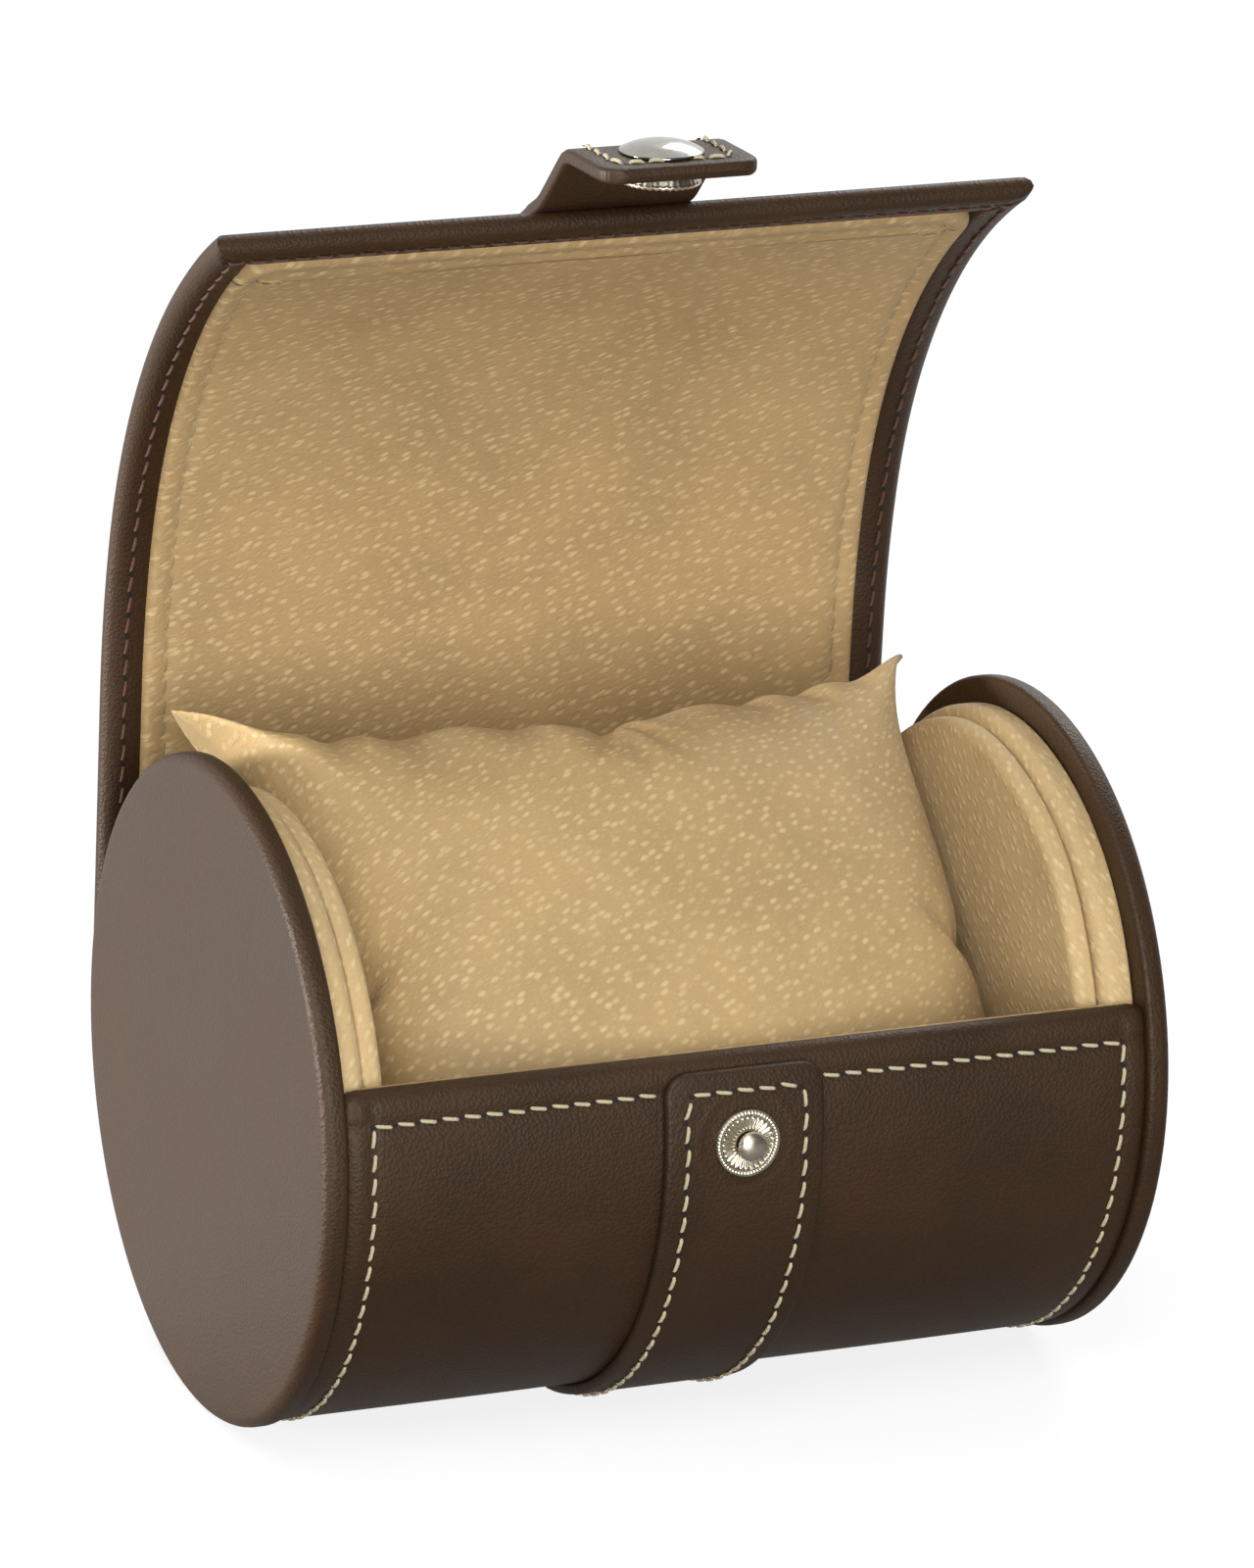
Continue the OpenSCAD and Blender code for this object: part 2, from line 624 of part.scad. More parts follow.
sides = [["left", -1], ["right", 1]];
end_pieces = ["end_cover", "end_board", "outer_pad_cover", "outer_pad_core", "inner_pad_cover", "inner_pad_core"];
NODES = concat(
    ["trough_cover", "trough_board", "trough_lining", "belt_trough", "lid_root", "belt_root"],
    [for (side = sides, piece = end_pieces) str(side[0], "_", piece)],
    [for (k = [1:strips], layer = ["cover", "board", "lining", "belt"]) str("lid_", layer, "_", k)],
    ["tab_stand", "tab_end", "snap_cap", "snap_socket", "socket_spring"],
    ["snap_stud", "stud_ring", "stud_rivet", "pillow_cover", "pillow_filling"]
);
node = "all";

function wanted(name) = node == "all" || node == name;
if (wanted("trough_cover")) trough_cover();
if (wanted("trough_board")) trough_board();
if (wanted("trough_lining")) trough_lining();
if (wanted("belt_trough")) belt_trough();
if (wanted("lid_root")) lid_root();
if (wanted("belt_root")) belt_root();
for (side = sides) {
    if (wanted(str(side[0], "_end_cover"))) end_cover(side[1]);
    if (wanted(str(side[0], "_end_board"))) end_board(side[1]);
    if (wanted(str(side[0], "_outer_pad_cover"))) outer_pad_cover(side[1]);
    if (wanted(str(side[0], "_outer_pad_core"))) outer_pad_core(side[1]);
    if (wanted(str(side[0], "_inner_pad_cover"))) inner_pad_cover(side[1]);
    if (wanted(str(side[0], "_inner_pad_core"))) inner_pad_core(side[1]);
}
for (k = [0:last]) {
    if (wanted(str("lid_cover_", k + 1))) lid_cover(k);
    if (wanted(str("lid_board_", k + 1))) lid_board(k);
    if (wanted(str("lid_lining_", k + 1))) lid_lining(k);
    if (wanted(str("lid_belt_", k + 1))) lid_belt(k);
}
if (wanted("tab_stand")) tab_stand();
if (wanted("tab_end")) tab_end();
if (wanted("snap_cap")) snap_cap();
if (wanted("snap_socket")) snap_socket();
if (wanted("socket_spring")) socket_spring();
if (wanted("snap_stud")) snap_stud();
if (wanted("stud_ring")) stud_ring();
if (wanted("stud_rivet")) stud_rivet();
if (wanted("pillow_cover")) pillow_cover();
if (wanted("pillow_filling")) pillow_filling();
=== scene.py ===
# %% [markdown]
# # Dressing a round watch travel case
# The frame holds the case's real sizes. This lesson dresses it as a maker would: leather, board and
# padded lining are laid out flat, bent to shape, stitched, and hung on the frame's moving bodies.
# Lengths are worked out in millimetres and turned into metres when a piece is made.

# %% Load the frame
import math
import bpy
import numpy as np
from mathutils import Matrix, Vector


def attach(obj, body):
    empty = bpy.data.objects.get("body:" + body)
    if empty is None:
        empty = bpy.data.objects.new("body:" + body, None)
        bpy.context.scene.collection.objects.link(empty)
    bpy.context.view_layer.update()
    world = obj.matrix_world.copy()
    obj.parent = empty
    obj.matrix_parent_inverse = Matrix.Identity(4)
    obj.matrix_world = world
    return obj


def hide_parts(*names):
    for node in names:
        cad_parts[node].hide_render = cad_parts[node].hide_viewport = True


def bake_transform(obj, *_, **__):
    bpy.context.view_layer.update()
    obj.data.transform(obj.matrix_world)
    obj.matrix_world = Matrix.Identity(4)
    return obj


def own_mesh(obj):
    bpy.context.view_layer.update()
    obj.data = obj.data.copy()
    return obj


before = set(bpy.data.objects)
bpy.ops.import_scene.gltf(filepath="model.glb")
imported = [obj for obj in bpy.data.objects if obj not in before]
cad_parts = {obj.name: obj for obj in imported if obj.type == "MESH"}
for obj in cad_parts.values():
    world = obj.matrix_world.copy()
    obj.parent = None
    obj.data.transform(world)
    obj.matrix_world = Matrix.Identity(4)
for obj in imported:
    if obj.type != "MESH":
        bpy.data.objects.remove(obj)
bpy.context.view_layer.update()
print("nodes in the frame:", len(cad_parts))

# %% [markdown]
# ## The case's main sizes
# The case is a drum that lies on its side. Its pieces are easiest to place by an angle round the
# drum's axis, a radius, and a distance along it. Angles are counted from the back, over the top, to
# the front. The trough runs from FRONT, below the axis, to BACK.

# %% Main sizes
AXIS = 43.9                             # height of the axis
END_R, END_T = 44.0, 3.3
HALF = 55.9                             # half the trough's length
SKIN_R, INSIDE_R = 43.5, 40.6           # outer leather and lining of the trough
FRONT, BACK = 162.5, 355.0
BELT_X, BELT_W, BELT_T = -2.0, 22.0, 1.6
LID_LEN, LID_T, LID_HALF = 127.0, 3.5, 57.2
LID_INSIDE_R = 44.4                     # inner face of the closed lid
TURN = [0, 0, 10.5, 16.5, 16.5, 16.5]   # what each strip adds to the lid's lean, in degrees
STRIP = LID_LEN / len(TURN)
HINGE_R = math.hypot(LID_INSIDE_R, STRIP / 2)
STUD_DROP = 9.8                         # from the front edge down to the stud
STUD = FRONT + math.degrees(STUD_DROP / SKIN_R)
print("each lid strip is", round(STRIP, 2), "mm long")

# %% [markdown]
# ## Camera
# The case is seen through a long lens, a little from above and from its left. A long lens stands far
# away, so both round ends come out nearly the same size. The camera's three axes are worked out from
# its angles and written as a matrix, because that gives the roll as well.

# %% Camera
PHOTO_W, FOCAL_PX, SENSOR = 1280, 9000, 36
UNIT = END_R / 1000                     # the camera's distances are in radii of the round ends
AWAY = 26.2 * UNIT


def camera_at(azimuth, elevation, roll, distance, aim, lens):
    az, el, ro = map(math.radians, (azimuth, elevation, roll))
    ahead = Vector((math.sin(az) * math.cos(el), math.cos(az) * math.cos(el), -math.sin(el)))
    right = Vector((math.cos(az), -math.sin(az), 0))
    up = right.cross(ahead)
    right, up = (math.cos(ro) * right + math.sin(ro) * up,
                 -math.sin(ro) * right + math.cos(ro) * up)
    data = bpy.data.cameras.new("camera")
    data.sensor_fit = "HORIZONTAL"
    data.sensor_width = SENSOR
    data.lens = lens
    data.clip_end = 20
    camera = bpy.data.objects.new("camera", data)
    bpy.context.collection.objects.link(camera)
    axes = Matrix((right, up, -ahead)).transposed().to_4x4()
    camera.matrix_world = Matrix.Translation(Vector(aim) - ahead * distance) @ axes
    bpy.context.scene.camera = camera


camera_at(23.9, 19.5, 2.7, AWAY, (-0.025 * UNIT, 0, 0.831 * UNIT + AXIS / 1000),
          FOCAL_PX / PHOTO_W * SENSOR)
print("camera placed", round(AWAY, 2), "m away")

# %% [markdown]
# ## Shader sums
# A finish is a set of sums over textures. They could be wired node by node, but then nobody can read
# them. So a socket is wrapped in a small class: sums on it add their nodes, and one method adds any
# other node with its settings and inputs.

# %% A socket that can be summed
class Sum:
    def __init__(self, tree, socket):
        self.tree, self.socket = tree, socket

    def node(self, kind, inputs=None, output=0, **settings):
        made = self.tree.nodes.new(kind)
        for name, value in settings.items():
            setattr(made, name, value)
        for key, value in (inputs or {}).items():
            if isinstance(value, Sum):
                self.tree.links.new(value.socket, made.inputs[key])
            else:
                made.inputs[key].default_value = value
        return Sum(self.tree, made.outputs[output])

    def math(self, operation, *others):
        inputs = {0: self, **{i + 1: other for i, other in enumerate(others)}}
        return self.node("ShaderNodeMath", inputs, operation=operation)

    def __add__(self, other): return self.math("ADD", other)
    def __radd__(self, other): return self.math("ADD", other)
    def __sub__(self, other): return self.math("SUBTRACT", other)
    def __rsub__(self, other): return (self * -1) + other
    def __mul__(self, other): return self.math("MULTIPLY", other)
    def __rmul__(self, other): return self.math("MULTIPLY", other)

    def step(self, low, high, to_low=0.0, to_high=1.0):
        """A soft step, from to_low at low to to_high at high."""
        return self.node("ShaderNodeMapRange", {"Value": self, "From Min": low, "From Max": high,
                                                "To Min": to_low, "To Max": to_high},
                         interpolation_type="SMOOTHSTEP")

    def blend(self, first, second):
        return self.node("ShaderNodeMix", {0: self, 6: first, 7: second}, output=2, data_type="RGBA")

    def place(self, scale, turn=0.0, move=(0, 0, 0)):
        return self.node("ShaderNodeMapping", {"Vector": self, "Scale": scale, "Location": move,
                                               "Rotation": (0, 0, math.radians(turn))})

    def noise(self, scale, detail=3.0, rough=0.5):
        return self.node("ShaderNodeTexNoise", {"Vector": self, "Scale": scale, "Detail": detail,
                                                "Roughness": rough})

    def cells(self, scale, random=1.0):
        inputs = {"Vector": self, "Scale": scale, "Randomness": random}
        return self.node("ShaderNodeTexVoronoi", inputs, voronoi_dimensions="2D")


print("sums ready:", sorted(name for name in vars(Sum) if not name.startswith("_")))

# %% [markdown]
# ## What every finish shares
# Leather is grained and dyed before it is cut, so its pattern belongs to the flat sheet and follows
# every bend. Each mesh keeps that flat place in an attribute called sheet, in millimetres, and all
# textures are drawn on it. Plain object coordinates would smear on the rims.

# %% The shell of a material
def material(name, build):
    made = bpy.data.materials.new(name)
    made.use_nodes = True
    tree = made.node_tree
    shader = tree.nodes["Principled BSDF"]
    sheet = Sum(tree, tree.nodes.new("ShaderNodeAttribute").outputs["Vector"])
    sheet.socket.node.attribute_name = "sheet"

    def finish(color, rough, height, bump=0.3, reach=0.0002, **fixed):
        for key, value in (("Base Color", color), ("Roughness", rough)):
            if isinstance(value, Sum):
                tree.links.new(value.socket, shader.inputs[key])
            else:
                shader.inputs[key].default_value = value
        for key, value in fixed.items():
            shader.inputs[key.replace("_", " ")].default_value = value
        relief = sheet.node("ShaderNodeBump",
                            {"Height": height, "Strength": bump, "Distance": reach})
        tree.links.new(relief.socket, shader.inputs["Normal"])

    build(sheet, finish)
    return made


def rgb(r, g, b):
    """A screen colour as the shader's linear one."""
    return tuple((c / 12.92 if c <= 0.04045 else ((c + 0.055) / 1.055) ** 2.4)
                 for c in (r / 255, g / 255, b / 255)) + (1.0,)


def shades(tone, dark, light=1.0):
    """A darker and a lighter colour of one tone."""
    return rgb(*[c * dark for c in tone]), rgb(*[c * light for c in tone])


print("mid grey is", round(rgb(128, 128, 128)[0], 3), "in the shader")

# %% [markdown]
# ## Dark leather
# The outer leather is smooth, dark and tightly grained: slow clouds from the dye, cells for the
# grain, and a finer tooth. A lowered specular level keeps it from shining like plastic. Metal that
# presses on it leaves a mark, so a finish can be given one.

# %% Dark leather
def dark_leather(dark, light, rubbed=None):
    """dark and light are the dye's two shades. rubbed(sheet) is 1 where metal has pressed on it."""
    def build(sheet, finish):
        cloud = sheet.noise(0.045, 4, 0.6)
        grain = sheet.cells(1.7)
        fine = sheet.noise(3.2, 3, 0.6)
        shade = cloud * 0.7 + grain * 0.25 + fine * 0.2
        rough = cloud.step(0.3, 0.7, 0.45, 0.55) + fine * 0.05
        relief = grain.step(0.05, 0.6) * 0.7 + fine * 0.5 + cloud * 1.2
        if rubbed:
            mark = rubbed(sheet)
            shade, rough, relief = shade + mark * 0.10, rough - mark * 0.08, relief - mark * 0.8
        finish(shade.step(0.3, 0.85).blend(dark, light), rough, relief, 0.32, 0.00018,
               Specular_IOR_Level=0.4, Specular_Tint=(1, 0.92, 0.8, 1))
    return build


LEATHER = material("outer_leather", dark_leather(*shades((51, 32, 15), 0.86, 1.16)))
BELT_LEATHER = material("belt_leather", dark_leather(*shades((50, 31, 15), 0.86, 1.16)))
print("leathers:", LEATHER.name, BELT_LEATHER.name)

# %% [markdown]
# ## Lining
# The lining is soft cream leather with an embossed pattern: rows of small raised flecks, a little
# lighter than the ground and slanted on the sheet. Stretched cells give the flecks. A slow noise
# fades them in places, as wear does.

# %% Flecked lining
def flecked_lining(tone, light):
    """Rows of short light flecks, a little slanted, over a softly clouded ground."""
    def build(sheet, finish):
        uneven = sheet.noise(0.35, 2, 0.5)
        slant = sheet.place((1, 1, 1), turn=-24)
        flecks = slant.place((0.36, 0.72, 1)).cells(1.0, random=0.8).step(0.34, 0.10)
        small = slant.place((0.5, 1.3, 1), move=(3.1, 1.7, 0)).cells(1.0, random=0.95)
        small = small.step(0.26, 0.08)
        cloud = sheet.noise(0.04, 4, 0.6)
        grain = sheet.noise(1.9, 4, 0.65)
        ground = (cloud * 0.8 + grain * 0.35).step(0.35, 0.8).blend(*shades(tone, 0.93, 1.04))
        spots = (flecks * 0.85 + small * 0.3) * uneven.step(0.3, 0.65, 0.25, 1.0)
        relief = flecks + small * 0.5 + grain * 0.7 + uneven * 0.5
        finish(spots.blend(ground, rgb(*light)), cloud.step(0.3, 0.7, 0.56, 0.66), relief,
               0.35, 0.00022, Specular_IOR_Level=0.3, Sheen_Weight=0.05)
    return build


LINING = material("lining", flecked_lining((178, 149, 104), (204, 178, 131)))
DISC_LINING = material("disc_lining", flecked_lining((190, 163, 117), (208, 185, 140)))
PILLOW_LINING = material("pillow_lining", flecked_lining((173, 146, 101), (200, 175, 129)))
print("linings:", LINING.name, DISC_LINING.name, PILLOW_LINING.name)

# %% [markdown]
# ## Thread, metal and the painted shade of needle holes
# Thread is twisted, so bands run along each stitch. The snap is nickel with slight wear, and its
# dome is polished harder. A needle hole is painted shade: a flat dark patch, a little mottled. All
# are small in the picture, so one pattern each is enough, where a scanned texture would add nothing
# to see.

# %% Small finishes
def thread(tone):
    def build(sheet, finish):
        twist = sheet.node("ShaderNodeTexWave",
                           {"Vector": sheet, "Scale": 2.6, "Distortion": 0.4}, output=1)
        finish(twist.blend(*shades(tone, 0.72)), 0.62, twist, 0.6, 0.0001, Sheen_Weight=0.1)
    return build


def metal(tone, smooth):
    def build(sheet, finish):
        wear = sheet.noise(0.8, 4, 0.6)
        finish(wear.step(0.3, 0.8).blend(*shades(tone, 0.93)),
               wear.step(0.2, 0.8, smooth * 0.8, smooth * 1.35), wear, 0.05, 0.0001, Metallic=1.0)
    return build


# Painted shade of a needle hole: two near-black browns, mottled by noise.
def painted_hole_shade(sheet, finish):
    shade_mottle = sheet.noise(2.0, 2, 0.5)
    finish(shade_mottle.blend(rgb(16, 10, 7), rgb(26, 17, 12)), 0.8, shade_mottle, 0.2, 0.0001)


THREAD = material("cream_thread", thread((226, 212, 172)))
DARK_THREAD = material("brown_thread", thread((104, 62, 44)))
LINING_THREAD = material("lining_thread", thread((190, 166, 118)))
NICKEL = material("nickel", metal((226, 216, 196), 0.3))
CHROME = material("chrome", metal((172, 171, 164), 0.16))
# The needle holes' painted shade.
HOLE_SHADE = material("painted_hole_shade", painted_hole_shade)
print("materials:", len(bpy.data.materials))

# %% [markdown]
# ## Meshes
# Everything is built from grids of points. A grid bends freely and keeps clean rows, which cuts and
# primitives don't. Each point also keeps its place on the flat sheet.

# %% Grids of points
class Shape:
    def __init__(self):
        self.points, self.sheet, self.faces, self.marks = [], [], [], []
        self.count = 0

    def grid(self, points, sheet, mark=0, wrap=False, flip=False):
        """Both are arrays of rows x columns x 3. wrap joins the last column to the first."""
        rows, cols = points.shape[:2]
        index = np.arange(rows * cols).reshape(rows, cols) + self.count
        across = np.roll(index, -1, axis=1) if wrap else index[:, 1:]
        here = index if wrap else index[:, :-1]
        quads = np.stack([here[:-1], across[:-1], across[1:], here[1:]], -1).reshape(-1, 4)
        self.faces.append(quads[:, ::-1] if flip else quads)
        self.marks.append(np.full(len(quads), mark))
        self.points.append(points.reshape(-1, 3))
        self.sheet.append(sheet.reshape(-1, 3))
        self.count += rows * cols

    def make(self, name, materials, level=0):
        mesh = bpy.data.meshes.new(name)
        points = np.concatenate(self.points) * 0.001
        faces = np.concatenate(self.faces)
        mesh.vertices.add(len(points))
        mesh.vertices.foreach_set("co", points.ravel())
        mesh.loops.add(faces.size)
        mesh.loops.foreach_set("vertex_index", faces.ravel())
        mesh.polygons.add(len(faces))
        mesh.polygons.foreach_set("loop_start", np.arange(0, faces.size, 4))
        mesh.polygons.foreach_set("loop_total", np.full(len(faces), 4))
        for item in materials:
            mesh.materials.append(item)
        mesh.polygons.foreach_set("material_index", np.concatenate(self.marks))
        mesh.polygons.foreach_set("use_smooth", np.ones(len(faces), bool))
        flat = mesh.attributes.new("sheet", "FLOAT_VECTOR", "POINT")
        flat.data.foreach_set("vector", np.concatenate(self.sheet).astype(np.float32).ravel())
        mesh.update(calc_edges=True)
        mesh.validate()
        made = bpy.data.objects.new(name, mesh)
        bpy.context.collection.objects.link(made)
        if level:
            finer = made.modifiers.new("finer", "SUBSURF")
            finer.levels = finer.render_levels = level
        return made


print("a grid carries:", sorted(vars(Shape())))

# %% [markdown]
# ## Small drawing helpers
# Outlines are lists of points made of straight runs and arcs. Hand-made leather is never quite even,
# so most faces get slow waves of about a tenth of a millimetre, the same on every run.

# %% Lines, arcs and waves
def spread(low, high, size):
    """Evenly spaced values, about size apart."""
    return np.linspace(low, high, max(2, int(round((high - low) / size)) + 1))


def mesh_grid(first, second):
    return np.meshgrid(np.asarray(first, float), np.asarray(second, float), indexing="ij")


def arc(cx, cy, r, first, last, steps=7):
    return [(cx + r * math.cos(a), cy + r * math.sin(a))
            for a in np.radians(np.linspace(first, last, steps))]


def direction(angle):
    return np.array([math.cos(math.radians(angle)), math.sin(math.radians(angle))])


def run_of(line):
    """The length from a line's start to each of its points."""
    return np.concatenate([[0], np.cumsum(np.linalg.norm(np.diff(line, axis=0), axis=1))])


def waves(a, b, size, seed):
    """Slow unevenness of hand-made leather, the same on every run."""
    pick = np.random.default_rng(seed)
    total = np.zeros_like(a)
    for _ in range(6):
        k = pick.uniform(0.03, 0.16, 2)
        total += np.sin(a * k[0] * pick.choice([-1, 1]) + b * k[1] + pick.uniform(0, 6.3))
    return total * size / 6


quarter_round = run_of(np.array(arc(0, 0, 10, 0, 90)))
print("a quarter round of 10 mm runs", round(quarter_round[-1], 1), "mm")

# %% [markdown]
# ## Bending rules
# The lid is one sheet that curls. Hinged plates would show corners, so the lid's lean grows along
# its length, and its line is the running sum of that lean. The sheet keeps its length however it
# bends. The same rule serves the strap of the tab. The trough and the ends are simply round.

# %% The lid's curl
class Bend:
    FINE = 0.05                          # step of the running sum

    def __init__(self, at, lean, start):
        """at and lean are the knots of the lean along the strip. start is its point at 0."""
        self.s = np.arange(at[0], at[-1] + self.FINE, self.FINE)
        self.lean = np.interp(self.s, at, lean)
        turn = np.radians(self.lean)
        steps = np.stack([-np.sin(turn), np.cos(turn)], 1) * self.FINE
        line = np.cumsum(steps, 0) - steps / 2
        zero = np.array([np.interp(0.0, self.s, line[:, i]) for i in (0, 1)])
        self.line = line - zero + np.asarray(start)

    def lean_at(self, s):
        return np.radians(np.interp(s, self.s, self.lean))

    def __call__(self, x, s, out):
        lean = self.lean_at(s)
        y = np.interp(s, self.s, self.line[:, 0]) + out * np.cos(lean)
        z = np.interp(s, self.s, self.line[:, 1]) + out * np.sin(lean)
        return np.stack([x, y, z + AXIS], -1)

    def spot(self, s, out=0.0):
        """A point on the strip's middle line, in metres."""
        return self(np.array(0.0), np.array(s), np.array(out)) * 0.001


HINGE_DEG = -5                           # the lid leaves the trough a little below the axis
ROOT_AT, ROOT_LEAN = [-27.5, -19, -8, -1.5], [-40, -29.5, -26, -8]
ROOT_LOW = -27.0                         # lower end of the root that holds the lid
knots = np.concatenate([ROOT_AT, np.arange(7) * STRIP])
leans = np.concatenate([ROOT_LEAN, [0], np.cumsum(TURN)])
lid = Bend(np.append(knots, LID_LEN + 4), np.append(leans, leans[-1]),
           HINGE_R * direction(HINGE_DEG))
mids = [(k + 0.5) * STRIP for k in range(6)]
cuts = [ROOT_LOW] + mids + [LID_LEN]     # each piece of the lid bends across one crease


def turned(x, angle, radius):
    """A point at a distance along X, an angle round the axis and a radius."""
    a = np.radians(angle)
    return np.stack([np.broadcast_to(x, a.shape), radius * np.cos(a), radius * np.sin(a) + AXIS],
                    -1)


print("lid's top edge, mm:", (lid.spot(LID_LEN) * 1000).round(1))

# %% [markdown]
# ## Stitches
# Each stitch is a short thread that rises out of one needle hole and dips into the next, a little
# slanted. A painted dashed line would look flat from the side, so every stitch is a bent tube. Each
# hole is a flat dark patch of painted shade.

# %% One row of stitches
SLANT, DIP = 0.18, 0.22                  # sideways lean and depth of a stitch's ends


def stitch_row(shape, place, total, pitch=3.0, start=0.0, thick=0.27, rise=0.24, keep=None, seed=1):
    """place(d) gives the point, the direction and the outward normal at distance d, as arrays."""
    count = max(1, int(round(total / pitch)))
    pitch = total / count
    middle = start + (np.arange(count) + 0.5) * pitch
    if keep is not None:
        middle = middle[keep(middle)]
    if not len(middle):
        return
    pick = np.random.default_rng(seed)
    point, ahead, out = place(middle)
    side = np.cross(ahead, out)
    sway = pick.uniform(-0.06, 0.06, len(middle))[:, None]
    q = np.linspace(-1, 1, 9)[None, :, None]
    spine = (point[:, None] + ahead[:, None] * q * pitch * 0.41
             + side[:, None] * (q * SLANT + sway[:, :, None])
             + out[:, None] * (rise * (1 - q ** 4) - DIP * q ** 4))
    turn = np.linspace(0, 2 * np.pi, 7)[:-1]
    ring = (side[:, None, None] * np.cos(turn)[None, None, :, None]
            + out[:, None, None] * np.sin(turn)[None, None, :, None])
    size = thick * np.sqrt(np.clip(1 - np.abs(q) ** 6, 0.02, 1))[..., None]
    tube = spine[:, :, None] + ring * size
    for n in range(len(middle)):
        along = q[0] * pitch * 0.4 + middle[n]
        flat = np.stack(np.broadcast_arrays(along, turn[None] * thick, 0 * q[0]), -1)
        shape.grid(tube[n], flat, 0, wrap=True)
    hole_shade_patches(shape, point - ahead * pitch * 0.5, ahead, side, out)


# A flat patch lies just above the leather at each needle hole. With the dark hole finish it is
# painted shade.
def hole_shade_patches(shape, hole, ahead, side, out, long=0.42, wide=0.34):
    turn = np.linspace(0, 2 * np.pi, 8)[:, None]
    for n in range(len(hole)):
        across = ahead[n] * np.cos(turn) * long + side[n] * np.sin(turn) * wide
        rim = np.stack([hole[n] + across + out[n] * 0.02, hole[n] + across * 0.05 + out[n] * 0.03])
        shape.grid(rim, rim, 1)


print("a stitch's ends dip", DIP, "mm into the leather")

# %% [markdown]
# ## Where stitches run
# A row is planned on the flat sheet, as a path of distances. These helpers carry it onto the bent
# lid or the round trough. Round a flap, the path goes up one side, across the top with rounded
# corners, and down the other side.

# %% Paths for stitches
TINY = 0.05                              # step that gives a path's direction


def headed(here, there):
    return (there - here) / np.linalg.norm(there - here, axis=1, keepdims=True)


def on_bend(bend, path, out):
    """Turns path(d), an x and an s on the flat sheet, into a place() for stitch_row."""
    def place(d):
        (x, s), (next_x, next_s) = path(d), path(d + TINY)
        here = bend(x, s, np.full_like(d, out))
        there = bend(next_x, next_s, np.full_like(d, out))
        lean = bend.lean_at(s)
        sign = 1 if out > 1 else -1
        return here, headed(here, there), sign * np.stack([0 * lean, np.cos(lean), np.sin(lean)], -1)
    return place


def on_trough(path, radius):
    """The same for the trough, where path(d) gives an x and an angle."""
    def place(d):
        (x, angle), (next_x, next_angle) = path(d), path(d + TINY)
        here, there = turned(x, angle, radius), turned(next_x, next_angle, radius)
        a = np.radians(angle)
        return here, headed(here, there), np.stack([0 * a, np.cos(a), np.sin(a)], -1)
    return place


def straight_up(x):
    def path(d):
        return x + 0 * d, d
    return path


def flap_path(half, low, top, corner, middle=0.0):
    """Up one side, round the top and down the other: the path and its length."""
    straight, quarter = top - corner - low, corner * math.pi / 2
    total = 2 * straight + 2 * quarter + 2 * (half - corner)

    def path(d):
        back = d > total / 2
        m = np.where(back, total - d, d)
        turn = np.clip((m - straight) / quarter, 0, 1) * math.pi / 2
        x = -half + corner * (1 - np.cos(turn)) + np.clip(m - straight - quarter, 0, None)
        s = low + np.minimum(m, straight) + corner * np.sin(turn)
        return middle + np.where(back, -x, x), s
    return path, total


print("round a 20 x 50 mm flap a path runs", round(flap_path(10, 0, 50, 3)[1], 1), "mm")

# %% [markdown]
# ## Trough
# The outer leather runs round the underside, rolls over a bead at the front edge and is turned in.
# It dips at both ends, into the groove beside the round ends, and the stitch rows press into it.
# A solid cut out of a cylinder would have sharp edges there, so the leather is drawn as one line
# that is carried along the axis, with extra columns where it dips.

# %% Outer leather of the trough
ROW_DOWN, ROW_IN, ROW_DEPTH = 2.9, 3.6, 0.3     # stitch rows: from the front, from the ends, depth
GROOVE, BEAD, TURNED_IN = 2.4, 1.9, 3.6
EDGE_STEPS = np.array([0, 0.15, 0.4, 0.8, 1.4, 2.0, 2.6, 3.1, 3.6, 4.1, 4.6, 5.3])


def trough_line():
    """From the back, under the case, over the front bead and down inside."""
    angles = np.concatenate([np.arange(BACK, FRONT + 7, -1.2), np.arange(FRONT + 7, FRONT, -0.5)])
    outward = direction(FRONT)
    upward = np.array([outward[1], -outward[0]])
    centre = (SKIN_R - BEAD) * outward
    line = [SKIN_R * direction(a) for a in angles]
    line += [centre + BEAD * (math.cos(turn) * outward + math.sin(turn) * upward)
             for turn in np.radians(np.arange(0, 181, 12))]
    line += [centre - BEAD * outward - upward * d + outward * 0.25 * d / TURNED_IN
             for d in (1.2, 2.4, TURNED_IN)]
    return np.array(line)


def pressed(far):
    """How much of a stitch row's depth is left at a distance from it."""
    return np.exp(-(far / 0.9) ** 2)


def at_back(x, radius):
    return turned(x, np.full_like(x, BACK), radius)


